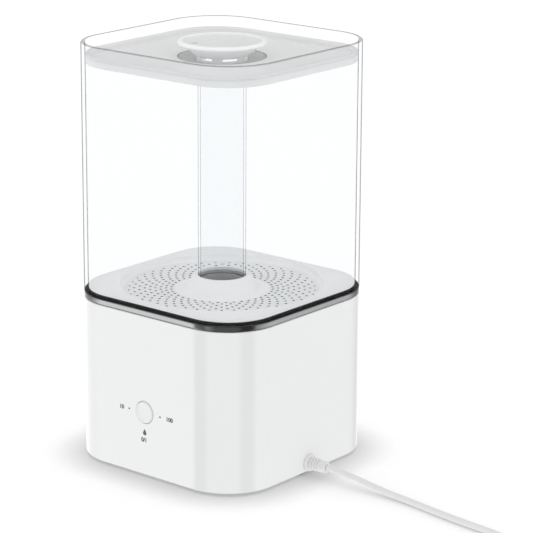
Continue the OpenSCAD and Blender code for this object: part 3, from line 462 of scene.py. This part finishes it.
finishes = {
    "white_shell": moulded("glossy white shell", (0.815, 0.82, 0.825), 0.13, drift=0.006,
                           ripple=0.006, coat=0.25),
    "inner_white": moulded("inner white plastic", (0.78, 0.78, 0.765), 0.42, grain=0.02,
                           grain_size=0.8),
    "foot_rubber": moulded("grey foot rubber", (0.05, 0.05, 0.053), 0.75, drift=0.12, grain=0.04,
                           grain_size=0.5),
    "screw_steel": moulded("zinc plated steel", (0.62, 0.62, 0.63), 0.3, drift=0.08, metal=1.0,
                           grain=0.01, grain_size=0.4, spread=0.1),
    "black_rubber": moulded("black seal rubber", (0.013, 0.013, 0.014), 0.55, drift=0.2,
                            grain=0.02, grain_size=0.4),
    "ceramic": moulded("silvered ceramic", (0.66, 0.63, 0.57), 0.32, drift=0.06, metal=0.8,
                       grain=0.012, grain_size=0.3, spread=0.12),
    "float_foam": moulded("cream float foam", (0.84, 0.82, 0.76), 0.85, drift=0.05, grain=0.12,
                          grain_size=1.1),
    "black_plastic": moulded("black glass filled plastic", (0.022, 0.022, 0.024), 0.45,
                             drift=0.15, grain=0.02, grain_size=0.6),
    "fan_dark": moulded("dark fan plastic", (0.035, 0.035, 0.038), 0.38, drift=0.12, grain=0.015,
                        grain_size=0.9),
    "parts_dark": moulded("dark circuit parts", (0.035, 0.038, 0.045), 0.4, drift=0.3,
                          grain=0.02, grain_size=0.3, spread=0.15),
    "parts_yellow": moulded("yellow transformer tape", (0.66, 0.45, 0.08), 0.35, drift=0.16,
                            grain=0.03, grain_size=1.5),
    "sink": moulded("drawn aluminium", (0.6, 0.61, 0.63), 0.38, drift=0.08, metal=1.0,
                    grain=0.015, grain_size=0.4, spread=0.1),
    "light_window": moulded("smoked light window", (0.05, 0.055, 0.065), 0.12, through=0.3,
                            ripple=0.01),
    "pot_metal": moulded("nickel plated can", (0.55, 0.55, 0.56), 0.28, drift=0.08, metal=1.0,
                         grain=0.01, grain_size=0.5, spread=0.1),
    "lead_black": moulded("black lead skin", (0.018, 0.018, 0.019), 0.45, drift=0.2, grain=0.02),
    "lead_red": moulded("red lead skin", (0.42, 0.02, 0.016), 0.42, drift=0.12, grain=0.02),
    "lead_grey": moulded("grey lead skin", (0.5, 0.5, 0.5), 0.42, drift=0.08, grain=0.02),
    "lead_yellow": moulded("yellow lead skin", (0.66, 0.42, 0.025), 0.42, drift=0.1, grain=0.02),
    "dark_trim": moulded("smoked chrome trim", (0.25, 0.25, 0.255), 0.07, drift=0.04, metal=1.0,
                         ripple=0.004, spread=0.02),
    "tray_white": moulded("satin white tray", (0.86, 0.865, 0.87), 0.5, drift=0.012, grain=0.012,
                          grain_size=0.7),
    "pan_plastic": moulded("smoked pan plastic", (0.6, 0.605, 0.61), 0.32, through=0.2,
                           ripple=0.01),
    "milky_lid": moulded("milky lid plastic", (0.8, 0.805, 0.81), 0.4, drift=0.012,
                         ripple=0.006, milky=0.3, passes=0.75),
    "nozzle_white": moulded("glossy nozzle plastic", (0.87, 0.875, 0.88), 0.25, drift=0.008,
                            ripple=0.006, milky=0.3, passes=0.85),
    "knob_white": moulded("satin knob plastic", (0.82, 0.825, 0.83), 0.2, drift=0.01,
                          grain=0.006, grain_size=0.5),
    "cord_white": moulded("soft white cord skin", (0.8, 0.8, 0.8), 0.4, drift=0.02, grain=0.02,
                          grain_size=0.6),
    "tie_black": moulded("black twist tie", (0.015, 0.015, 0.016), 0.6, drift=0.2, grain=0.03),
    "pin_brass": moulded("nickelled brass pins", (0.72, 0.64, 0.44), 0.24, drift=0.06, metal=1.0,
                         grain=0.008, grain_size=0.5, spread=0.08),
    "panel_ink": moulded("dark grey panel ink", (0.07, 0.07, 0.075), 0.5, drift=0.1, grain=0.004,
                         grain_size=0.3),
}
print("finishes:", len(finishes))

# %% [markdown]
# The circuit boards are green glass fibre under a lacquer, with copper tracks that show
# through it as a paler pattern. A brick pattern gives the straight runs of the tracks.

# %% Circuit board
def circuit_board():
    """Green lacquer with paler tracks and a faint weave."""
    material, tree, out = new_material("green circuit board")
    link = tree.links.new
    place = add(tree, "ShaderNodeTexCoord")
    shader = add(tree, "ShaderNodeBsdfPrincipled", Roughness=0.32)
    tracks = add(tree, "ShaderNodeTexBrick", Scale=190.0)
    tracks.inputs["Color1"].default_value = (0.012, 0.11, 0.045, 1)
    tracks.inputs["Color2"].default_value = (0.016, 0.14, 0.055, 1)
    tracks.inputs["Mortar"].default_value = (0.05, 0.26, 0.1, 1)
    tracks.inputs["Mortar Size"].default_value = 0.035
    link(place.outputs["Object"], tracks.inputs["Vector"])
    link(tracks.outputs["Color"], shader.inputs["Base Color"])
    bump = add(tree, "ShaderNodeBump", Strength=1.0, Distance=0.03 * MM)
    link(tracks.outputs["Fac"], bump.inputs["Height"])
    link(bump.outputs["Normal"], shader.inputs["Normal"])
    link(shader.outputs["BSDF"], out.inputs["Surface"])
    return material


finishes["board"] = circuit_board()

# %% [markdown]
# The tank is thin, clear, polished plastic. Face on it hardly shows, and edge on it shows fine
# grey lines, which here are a painted reflection. A see-through shader is mixed with a thin dark
# painted shade by how edge-on the surface is, and a little more on the cut faces of the rim.
# The light still gets in to what the tank holds. It is not bent.

# %% Clear tank plastic
def clear_plastic(face_on_painted_shade=0.006, edge_on_painted_shade=0.75, rim=0.5):
    """Polished clear plastic with painted dark reflection lines at its edges, that lets light
    through.
    """
    material, tree, out = new_material("clear tank plastic")
    link = tree.links.new
    place = add(tree, "ShaderNodeTexCoord")
    # The dark diffuse skin below is a painted reflection, shown only at edges and rims.
    skin = add(tree, "ShaderNodeBsdfDiffuse", Roughness=0.1)
    wave = add(tree, "ShaderNodeTexNoise", Scale=14.0, Detail=1.0)
    link(place.outputs["Object"], wave.inputs["Vector"])
    tones = add(tree, "ShaderNodeValToRGB")
    tones.color_ramp.elements[0].color = (0.07, 0.072, 0.074, 1)
    tones.color_ramp.elements[1].color = (0.11, 0.112, 0.114, 1)
    link(wave.outputs["Fac"], tones.inputs["Fac"])
    link(tones.outputs["Color"], skin.inputs["Color"])
    # Painted reflection: the dark skin is mixed in where the surface turns edge-on, and on faces
    # that point up or down.
    edge = add(tree, "ShaderNodeLayerWeight", Blend=0.5)
    line = ramped(tree, edge.outputs["Facing"], 0.76, 0.97, face_on_painted_shade, edge_on_painted_shade, "SMOOTHSTEP")
    form = add(tree, "ShaderNodeNewGeometry")
    axes = add(tree, "ShaderNodeSeparateXYZ")
    link(form.outputs["Normal"], axes.inputs["Vector"])
    cut = ramped(tree, maths(tree, "ABSOLUTE", axes.outputs["Z"]), 0.3, 0.8, 0.0, rim)
    clear = add(tree, "ShaderNodeBsdfTransparent")
    clear.inputs["Color"].default_value = (0.992, 0.995, 0.997, 1)
    rays = add(tree, "ShaderNodeLightPath")
    shades = maths(tree, "SUBTRACT", 1.0, rays.outputs["Is Shadow Ray"])
    factor = maths(tree, "MULTIPLY", maths(tree, "MAXIMUM", line, cut), shades)
    link(mixed(tree, factor, clear.outputs["BSDF"], skin.outputs["BSDF"]),
         out.inputs["Surface"])
    return material


finishes["clear_tank"] = clear_plastic()

# %% [markdown]
# Some mouldings get painted shade and painted light in places: painted shade on the walls of
# the strainer's holes and on its dish, in the nozzle's well with a painted dark line at its edge,
# on the nozzle's dish, neck and groove, painted light on the nozzle's cone and rim, and painted
# reflection that darkens the trim at its corners. A zone is a ring round the upright axis, from
# one radius to another and one height to another in millimetres.

# %% Painted shade and light by place
def between(tree, value, low, high, soft):
    """A factor that is 1 from low to high and falls to 0 over soft on each side."""
    return maths(tree, "MULTIPLY", *(ramped(tree, value, (edge - inward) * MM,
                                            (edge + inward) * MM)
                                     for edge, inward in ((low, soft), (high, -soft))))


def painted_light_and_shade(material, *zones, corners=None):
    """Paints shade and light on a finish by zones of (radius, to, height, to, painted shade,
    painted glow).

    corners gives the height that the body's corners get a painted shade up to, and its level.
    """
    tree = material.node_tree
    link = tree.links.new
    nodes = {node.bl_idname: node for node in tree.nodes}
    place = nodes["ShaderNodeTexCoord"].outputs["Object"]
    shader = nodes["ShaderNodeBsdfPrincipled"]
    colour = nodes["ShaderNodeValToRGB"].outputs["Color"]
    axes = add(tree, "ShaderNodeSeparateXYZ")
    link(place, axes.inputs["Vector"])
    level = add(tree, "ShaderNodeVectorMath", operation="MULTIPLY")
    level.inputs[1].default_value = (1, 1, 0)
    link(place, level.inputs[0])
    radius = add(tree, "ShaderNodeVectorMath", operation="LENGTH")
    link(level.outputs["Vector"], radius.inputs[0])
    masks = [(maths(tree, "MULTIPLY", between(tree, radius.outputs["Value"], r0, r1, 0.15),
                    between(tree, axes.outputs["Z"], z0, z1, 0.08)), painted_shade, glow)
             for r0, r1, z0, z1, painted_shade, glow in zones]
    # Painted reflection: the corners of the square body are darkened, up to a height.
    if corners:
        below, painted_shade = corners
        nearer = maths(tree, "MINIMUM", *(maths(tree, "ABSOLUTE", axes.outputs[axis])
                                          for axis in "XY"))
        mask = maths(tree, "MULTIPLY", between(tree, nearer, 56, 200, 9),
                     between(tree, axes.outputs["Z"], 0, below, 0.15))
        masks.append((mask, painted_shade, 0))
    light = None
    for mask, painted_shade, glow in masks:
        shade = add(tree, "ShaderNodeMix", data_type="RGBA", blend_type="MULTIPLY")
        shade.inputs["B"].default_value = (painted_shade, painted_shade, painted_shade, 1)
        link(mask, shade.inputs["Factor"])
        link(colour, shade.inputs["A"])
        colour = shade.outputs["Result"]
        # glow is painted light: an emission on a part that is no lamp.
        if glow:
            share = maths(tree, "MULTIPLY", mask, glow)
            light = maths(tree, "ADD", light, share) if light else share
    link(colour, shader.inputs["Base Color"])
    if light:
        shader.inputs["Emission Color"].default_value = (1, 1, 1, 1)
        link(light, shader.inputs["Emission Strength"])


# Painted shade on the strainer: its hole walls and underside are darkened to a tenth and its dish
# floor a little, and its top faces get a faint painted glow.
HOLE_SHADE_BELOW = 132.2
AXIS, BEYOND = -9, 400
painted_light_and_shade(finishes["tray_white"], (AXIS, BEYOND, 0, HOLE_SHADE_BELOW, 0.1, 0),
       (AXIS, BEYOND, HOLE_SHADE_BELOW, BEYOND, 1, 0.06), (37, 76, HOLE_SHADE_BELOW, 134, 0.92, 0))
# Painted shade on the floor of the lid's well for the nozzle, and a painted dark line round its
# edge.
painted_light_and_shade(finishes["milky_lid"], (AXIS, 32.6, 300, 315.2, 0.74, 0),
       (32.5, 34.2, 315.3, 316, 0.4, 0))
# Painted light on the nozzle's neck, cone and rim; painted shade on its dish, in its index groove
# and on its neck.
painted_light_and_shade(finishes["nozzle_white"], (AXIS, 31, 300, 324.7, 1, 0.1),
       (30.2, 40, 324.7, 330, 1, 0.08), (AXIS, 29.8, 326, 327.6, 0.97, 0),
       (AXIS, 28, 326, 326.85, 0.3, 0), (AXIS, 21, 312, 317.3, 0.8, 0))
# Painted reflection: the trim is darkened at its corners, up to just below its top edge.
painted_light_and_shade(finishes["dark_trim"], corners=(133.4, 0.16))

# %% [markdown]
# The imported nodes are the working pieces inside, and they have their true shapes already.
# Each takes the finish of its slot in the record. The outer pieces that follow replace theirs.

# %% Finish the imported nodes
slots = {row["node"]: row["material_slot"] for row in frame["record"]["subparts"]}
for name, node in nodes.items():
    node.data.materials.clear()
    node.data.materials.append(finishes[slots[name]])
print("packed nodes finished:", len(slots))

# %% [markdown]
# The cord's skin is nearly round, with a shallow valley along each side where its two cores
# lie on each other. A ring of edges with two points pulled in is set square to the route at
# every point, and each ring is bridged to the next.

# %% The cord
def twin_ring(bm, place, sides=16, valley=0.86):
    """A ring square to the route, with a valley at its two sides."""
    made = bmesh.ops.create_circle(bm, cap_ends=False, segments=sides, radius=CORD_D / 2)["verts"]
    for v in made:
        pull = max(0.0, math.cos(2 * math.atan2(v.co.y, v.co.x))) ** 4
        v.co *= 1 - (1 - valley) * pull
    edges = list({e for v in made for e in v.link_edges})
    bmesh.ops.transform(bm, matrix=place, verts=made)
    return edges


def laid(line, i):
    """The place of a ring at one point of the line: its own Y stays upright."""
    along = (line[min(i + 1, len(line) - 1)] - line[max(i - 1, 0)]).normalized()
    side = along.cross(Vector((0, 0, 1))).normalized()
    turn = Matrix((side, side.cross(along), along)).transposed().to_4x4()
    return Matrix.Translation(line[i]) @ turn


def cord_skin(line):
    """The whole cord as one closed tube along the line."""
    bm = bmesh.new()
    rings = [twin_ring(bm, laid(line, i)) for i in range(len(line))]
    return bridged(bm, rings)


cord = piece("mains_cord", cord_skin(cord_line), "base", finishes["cord_white"],
             ("power_cord", "power_cord_coil", "power_cord_tail"))

# %% [markdown]
# The strain relief is one soft moulding: a flange against the base, four ribs parted by
# narrow slots that let it bend, and a plain collar that grips the cord.

# %% The strain relief
GLAND_L = 18
GLAND_Z = 9.5 * MM
RIBS = 4
RIB_PITCH = 2.55


def relief_outline():
    """From the wall's inside along the outside of the ribs to the mouth of the collar."""
    corners = [(0, -5, 0), (4.9, -5, 0.3), (4.9, -2.5, 0.2), (4.4, -2.5, 0), (4.4, 0, 0),
               (6.9, 0, 0.2), (6.9, 2.2, 0.9), (4.9, 2.2, 0.4)]
    for k in range(RIBS):
        low = 2.9 + k * RIB_PITCH
        thick = 5.35 - 0.2 * k
        corners += [(4.9 - 0.15 * k, low, 0), (3.5, low + 0.1, 0.25), (3.5, low + 0.8, 0.25),
                    (thick, low + 0.9, 0.35)]
    last = 2.9 + RIBS * RIB_PITCH
    return corners + [(4.55, last, 0.2), (4.3, GLAND_L, 1.1), (2.5, GLAND_L, 0.3),
                      (2.4, GLAND_L - 1.5, 0), (0, GLAND_L - 1.5, 0)]


relief = piece("cord_strain_relief",
               moved(turned(relief_outline(), steps=64, closed=False), SIDEWAYS,
                     (BODY_HALF, 0, GLAND_Z)),
               "base", finishes["cord_white"], ("strain_relief",))

# %% [markdown]
# The plug is a soft moulding too: a tapered sleeve that widens to a waisted grip and a head.
# Its sections are circles pushed towards a square, so it is a row of rings again.

# %% The plug and the tie round the coil
PLUG_AT = Vector((344.9, -90, 6)) * MM


def squared_ring(bm, width, height, along, power):
    """A ring across the plug: power 2 is an ellipse, and more makes it squarer."""
    made = bmesh.ops.create_circle(bm, cap_ends=False, segments=48, radius=1)["verts"]
    for v in made:
        x = math.copysign(abs(v.co.x) ** (2 / power), v.co.x)
        y = math.copysign(abs(v.co.y) ** (2 / power), v.co.y)
        v.co = Vector((x * width / 2, y * height / 2, along)) * MM
    return list({e for v in made for e in v.link_edges})


def plug_shape():
    """The sleeve, grip and head, from the cord to the pins."""
    bm = bmesh.new()
    sleeve = [(5.4 + 0.28 * k - (1.1 if k % 3 == 1 else 0), k, 2) for k in range(12)]
    rings = [squared_ring(bm, width, width, along, power) for width, along, power in sleeve]
    for width, height, along, power in ((10.5, 9, 12, 2.2), (14, 10.2, 13.5, 2.8),
                                        (16, 10.4, 17, 3.2), (15.6, 10.2, 22, 3.2),
                                        (18, 10.8, 24.5, 3.4), (22.6, 11.7, 27, 3.8),
                                        (24, 12, 29.5, 4), (24, 12, 38, 4), (23.6, 11.6, 39.4, 4),
                                        (22.6, 10.6, 40, 4)):
        rings.append(squared_ring(bm, width, height, along, power))
    return bridged(bm, rings)


def tie_shape():
    """A flat band that goes once round the coil's turns."""
    bm = block(21.4, 10.6, 6)
    upright = [e for e in bm.edges if abs(e.verts[0].co.z - e.verts[1].co.z) > MM]
    softened(bm, upright, 2.6, 6)
    bmesh.ops.delete(bm, geom=[f for f in bm.faces if abs(f.normal.z) > 0.5], context="FACES")
    bmesh.ops.recalc_face_normals(bm, faces=bm.faces)
    bmesh.ops.solidify(bm, geom=bm.faces[:], thickness=0.55 * MM)
    return bm


plug = piece("mains_plug", moved(plug_shape(), FRONT, PLUG_AT), "base",
             finishes["cord_white"], ("plug_body",))
TIE_TURN = Matrix.Rotation(math.radians(215), 4, "Z")
tie = piece("coil_tie",
            moved(tie_shape(), TIE_TURN @ Matrix.Translation((COIL_MIDDLE, 0, 5.3 * MM)) @ FRONT,
                  COIL_CENTRE),
            "base", finishes["tie_black"], ("cord_tie",))

# %% [markdown]
# The base is a deep rounded square shell. Its wall is one outline carried round the square,
# and a cup for the knob is joined to it. Then the recess, with a slightly flared mouth, the
# drop-shaped light, the hole for the strain relief and a small hole through the cup's floor are
# cut through.

# %% The base housing
BASE_LOW, BASE_TOP = 2.5, 129.0
KNOB_X, KNOB_Z = -2 * MM, 52.7 * MM
RECESS_R = 9.0
DROP_Z = 36.1 * MM


def drop_cutter(grow=0.15):
    """A drop: a round end with a point over it, deeper than the wall."""
    bm = bmesh.new()
    radius = (1.6 + grow) * MM
    made = bmesh.ops.create_circle(bm, cap_ends=True, segments=32, radius=radius)
    for v in made["verts"]:
        if v.co.y > 0:
            lift = v.co.y / radius
            v.co.x *= 1 - 0.75 * lift ** 1.5
            v.co.y += lift ** 2 * 1.5 * MM
    bmesh.ops.translate(bm, vec=(0, 0, -2.5 * MM), verts=bm.verts)
    grown = bmesh.ops.extrude_face_region(bm, geom=bm.faces[:])["geom"]
    top = [v for v in grown if isinstance(v, bmesh.types.BMVert)]
    bmesh.ops.translate(bm, vec=(0, 0, 5 * MM), verts=top)
    return bm


def housing_shape():
    """The wall with its ledge, the knob's cup, and the three cuts."""
    wall = carried([(88, BASE_LOW, 0.8), (88, BASE_TOP, 0.8), (85.5, BASE_TOP, 0.3),
                    (85.5, BASE_LOW, 0)])
    cup = turned([(0, 0, 0), (RECESS_R + 1.8, 0, 0), (RECESS_R + 1.8, 8.2, 0.4), (0, 8.2, 0)],
                 closed=False, steps=64)
    bmesh.ops.translate(cup, vec=(0, 0, -10.2 * MM), verts=cup.verts)
    recess = turned([(0, -7.5, 0), (RECESS_R, -7.5, 0), (RECESS_R, -0.4, 0),
                     (RECESS_R + 0.06, -0.12, 0), (RECESS_R + 0.2, 0, 0),
                     (RECESS_R + 0.2, 2, 0), (0, 2, 0)], closed=False, steps=96)
    bush = turned([(0, -12, 0), (3.7, -12, 0), (3.7, 0, 0), (0, 0, 0)], closed=False, steps=48)
    control = Vector((KNOB_X, -BODY_HALF, KNOB_Z))
    hole = turned([(0, -6, 0), (4.5, -6, 0), (4.5, 2, 0), (0, 2, 0)], closed=False, steps=48)
    whole = combined("UNION", wall, moved(cup, FRONT, control))
    return combined("DIFFERENCE", whole, moved(recess, FRONT, control),
                    moved(bush, FRONT, control),
                    moved(drop_cutter(), FRONT, (KNOB_X, -BODY_HALF, DROP_Z)),
                    moved(hole, SIDEWAYS, (BODY_HALF, 0, GLAND_Z)))


piece("base_shell", housing_shape(), "base", finishes["white_shell"],
      ("base_housing",), flat=True)

# %% [markdown]
# The knob is a short turned cap with a rounded rim and a face that dips very slightly, with
# a pointer groove cut near its edge.

# %% The knob
def knob_shape():
    """A hollow cap, made facing up and then turned to face forward."""
    cap = turned([(0, 0.55, 0), (5.9, 0.6, 3), (7, 0.8, 1), (8.5, 0.75, 0.75), (8.55, -0.6, 0.1),
                  (8.85, -0.65, 0.1), (8.85, -4.8, 0.3), (7.2, -4.8, 0.3), (7, -1.2, 0.3),
                  (0, -1.2, 0)], closed=False, steps=96)
    groove = block(0.9, 3, 0.8)
    softened(groove, groove.edges[:], 0.3, 3)
    bmesh.ops.translate(groove, vec=(0, -5.8 * MM, 0.8 * MM), verts=groove.verts)
    return combined("DIFFERENCE", cap, groove)


piece("control_knob", moved(knob_shape(), FRONT, (KNOB_X, -BODY_HALF, KNOB_Z)), "knob",
      finishes["knob_white"], ("knob",))

# %% [markdown]
# The printing beside the knob is plain: a dot on each side, a small figure for the least and
# the most mist, and a nought and a one under the light. It is a film of ink a twentieth of a
# millimetre thick, made from a text object that is turned into a mesh.

# %% Printed figures
def printed(name, body, size, x, z):
    """A figure of that cap height, centred at a place on the front wall."""
    curve = bpy.data.curves.new(name, "FONT")
    curve.body = body
    curve.size = size * 1.38 * MM
    curve.align_x = "CENTER"
    curve.align_y = "CENTER"
    curve.extrude = 0.025 * MM
    curve.offset = 0.19 * MM
    holder = bpy.data.objects.new(name, curve)
    scene.collection.objects.link(holder)
    bpy.context.view_layer.update()
    mesh = bpy.data.meshes.new_from_object(holder)
    bpy.data.objects.remove(holder)
    bm = bmesh.new()
    bm.from_mesh(mesh)
    bpy.data.meshes.remove(mesh)
    moved(bm, FRONT, (x * MM, -BODY_HALF - 0.02 * MM, z * MM))
    return bm


def printed_dot(x, z):
    """A small round dot of ink."""
    dot = turned([(0, -0.01, 0), (0.75, -0.01, 0), (0.75, 0.05, 0), (0, 0.05, 0)], closed=False,
                 steps=24)
    return moved(dot, FRONT, (x * MM, -BODY_HALF, z * MM))


piece("panel_figures",
      joined(printed("least", "10", 3.3, -25.6, 52.3), printed("most", "100", 3.3, 23.4, 52.3),
             printed("off", "0/1", 3.3, -2.6, 30.4), printed_dot(-17.9, 52.5),
             printed_dot(13.9, 52.5)),
      "base", finishes["panel_ink"])

# %% [markdown]
# The tank is three pieces here. The smoked trim band carries the clear wall, and the mist
# tube stands in the middle. Wall and tube are solids of their real thickness, so each shows
# a line for its outside and another for its inside.

# %% The tank
piece("trim_band",
      carried([(88, 129.3, 0.9), (88, 133.8, 0.9), (85.2, 133.8, 0.2), (85.2, 130.3, 0),
               (82.3, 130.3, 0), (82.3, 129.3, 0)]),
      "tank", finishes["dark_trim"], ("trim_ring",), flat=True)
piece("clear_wall",
      carried([(88, 133.8, 0.3), (88, 328.2, 1.2), (85, 328.2, 0.5), (85, 133.8, 0.3)]),
      "tank", finishes["clear_tank"], ("tank_wall",), flat=True)
piece("clear_tube",
      turned([(18.5, 139.5, 0.2), (18.5, 311, 0.3), (16.7, 311, 0.3), (16.7, 139.5, 0.2)],
             steps=128),
      "tank", finishes["clear_tank"], ("mist_tube",))

# %% [markdown]
# The lid is a milky tray with a raised lip, a groove round its edge for the seal and a round
# well for the nozzle. Its outline passes from the square part to the round part, so the
# rings that carry it change from rounded squares to circles on the way.

# %% The lid
piece("lid_tray",
      carried([(80.4, 313.5, 0.4), (80.4, 311.7, 0), (84.6, 311.7, 0.8), (84.6, 316.9, 0.1),
               (83.8, 316.9, 0.1), (83.8, 317.7, 0.1), (84.6, 317.7, 0.1), (84.6, 320, 1.5),
               (80.4, 320, 1.5), (80.4, 315.5, 1.4), (32.8, 315.5, 0.3), (32.8, 313, 0.4),
               (19.9, 313, 0.2), (19.9, 312, 0), (17, 312, 0.1), (17, 311.3, 0),
               (34.5, 311.3, 0.5), (34.5, 313.5, 0.3)]),
      "lid", finishes["milky_lid"], ("lid",), flat=True)

# %% [markdown]
# The nozzle is a mushroom: a neck that turns in the lid, a cone, and a cap with a thick round
# rim and a shallow dish. Six windows in the neck let the mist out below the cap.

# %% The nozzle
WINDOWS = 6
INDEX_TURN = Matrix.Rotation(math.radians(-117), 4, "Z")


def nozzle_shape():
    """The turned body, less its windows and the index groove."""
    body = turned([(17.6, 312.3, 0.2), (19.6, 312.3, 0.3), (19.6, 317.2, 0.3),
                   (21.5, 317.6, 0.6), (30.1, 324.6, 0.8), (32.2, 324.8, 0.3), (33.8, 324.9, 1.4),
                   (33.8, 328, 1.5), (30.4, 328, 0.7), (29.8, 327, 0.3), (0, 327, 0),
                   (0, 325.2, 0), (26.7, 325.2, 0.8), (17.6, 317.8, 0.6)],
                  steps=128, rounding=6)
    cutters = []
    for k in range(WINDOWS):
        window = block(6, 12, 1.8)
        level = [e for e in window.edges if abs(e.verts[0].co.x - e.verts[1].co.x) > MM]
        turn = Matrix.Rotation((k + 0.5) * math.tau / WINDOWS, 4, "Z")
        cutters.append(moved(softened(window, level, 0.6, 4),
                             turn @ Matrix.Translation((18.6 * MM, 0, 315.4 * MM))))
    index = moved(block(5, 1.8, 1.4),
                  INDEX_TURN @ Matrix.Translation((22.5 * MM, 0, 327 * MM)))
    return combined("DIFFERENCE", body, *cutters, index)


piece("mist_nozzle", nozzle_shape(), "nozzle", finishes["nozzle_white"],
      ("nozzle",))

# %% [markdown]
# The light is a white studio: even from all sides for the matt surfaces, while glossy ones
# see tall bright panels with dimmer gaps between them. The gaps draw the grey bands down the
# base's corners. The camera, and what is seen through the clear tank, get plain white. A ray
# may pass many clear skins, so that the strainer is lit through the tank and the tube.

# %% World
def studio_world(even=0.97, panels=2.4, gap=0.25, above=0.75):
    """White behind everything, with bright panels and gaps for reflections."""
    world = bpy.data.worlds.new("studio")
    scene.world = world
    world.use_nodes = True
    tree = world.node_tree
    tree.nodes.clear()
    link = tree.links.new
    place = add(tree, "ShaderNodeTexCoord")
    axes = add(tree, "ShaderNodeSeparateXYZ")
    link(place.outputs["Generated"], axes.inputs["Vector"])
    angle = maths(tree, "ARCTAN2", axes.outputs["X"],
                  maths(tree, "MULTIPLY", axes.outputs["Y"], -1))
    bands = add(tree, "ShaderNodeValToRGB")
    stops = [(-180, gap), (-140, 0.6), (-75, 0.6), (-46, 0.95), (-40, 0.95), (-30, gap),
             (-12, gap), (-2, 0.72), (62, 0.72), (70, gap), (92, gap), (102, 0.85), (150, 0.6),
             (180, gap)]
    ramp = bands.color_ramp
    while len(ramp.elements) < len(stops):
        ramp.elements.new(0.5)
    for element, (degrees, level) in zip(ramp.elements, stops):
        element.position = (degrees + 180) / 360
        element.color = (level, level, level, 1)
    link(ramped(tree, angle, -math.pi, math.pi), bands.inputs["Fac"])
    glossy = add(tree, "ShaderNodeBackground")
    link(ramped(tree, axes.outputs["Z"], -0.1, 0.1, panels, above), glossy.inputs["Strength"])
    link(bands.outputs["Color"], glossy.inputs["Color"])
    plain = add(tree, "ShaderNodeBackground", Strength=even)
    white = add(tree, "ShaderNodeBackground", Strength=1.0)
    for source in (plain, white):
        source.inputs["Color"].default_value = (1, 1, 1, 1)
    rays = add(tree, "ShaderNodeLightPath")
    light = mixed(tree, rays.outputs["Is Glossy Ray"], plain.outputs["Background"],
                  glossy.outputs["Background"])
    out = tree.nodes.new("ShaderNodeOutputWorld")
    link(mixed(tree, seen_directly(rays), light, white.outputs["Background"]),
         out.inputs["Surface"])


studio_world()
scene.cycles.transparent_max_bounces = 32
scene.view_settings.view_transform = "Standard"

# %% [markdown]
# The floor is a wide pale sheet. What the camera sees of it is lifted just enough to be
# white where nothing shades it, so that it runs into the background, and it still shows the
# soft shadow round the base and under the cord. To all other light it is even white paper.
# Reflections look past it to the same panels as above, which carries the bands on the base
# right down to its foot.

# %% Floor
def floor_material(paper_white=0.62, lift=0.44, reach=0.034):
    """White paper: the camera sees it lifted to white, and darker only where it is shaded."""
    material, tree, out = new_material("white floor")
    link = tree.links.new
    paper = add(tree, "ShaderNodeEmission", Strength=0.93)
    seen_paper = add(tree, "ShaderNodeBsdfDiffuse")
    seen_paper.inputs["Color"].default_value = (paper_white, paper_white, paper_white, 1)
    open_sky = add(tree, "ShaderNodeAmbientOcclusion", Distance=reach)
    open_sky.samples = 12
    shade = maths(tree, "MULTIPLY", maths(tree, "POWER", open_sky.outputs["AO"], 1.8), lift)
    glow = add(tree, "ShaderNodeEmission")
    link(shade, glow.inputs["Strength"])
    both = add(tree, "ShaderNodeAddShader")
    link(seen_paper.outputs["BSDF"], both.inputs[0])
    link(glow.outputs["Emission"], both.inputs[1])
    rays = add(tree, "ShaderNodeLightPath")
    paper_or_light = mixed(tree, seen_directly(rays), paper.outputs["Emission"],
                           both.outputs["Shader"])
    past = add(tree, "ShaderNodeBsdfTransparent")
    link(mixed(tree, rays.outputs["Is Glossy Ray"], paper_or_light, past.outputs["BSDF"]),
         out.inputs["Surface"])
    return material


floor_bm = bmesh.new()
bmesh.ops.create_grid(floor_bm, x_segments=1, y_segments=1, size=14)
floor_mesh = bpy.data.meshes.new("floor")
floor_bm.to_mesh(floor_mesh)
floor_bm.free()
floor_mesh.materials.append(floor_material())
floor = bpy.data.objects.new("floor", floor_mesh)
floor.location.z = -0.0002
scene.collection.objects.link(floor)
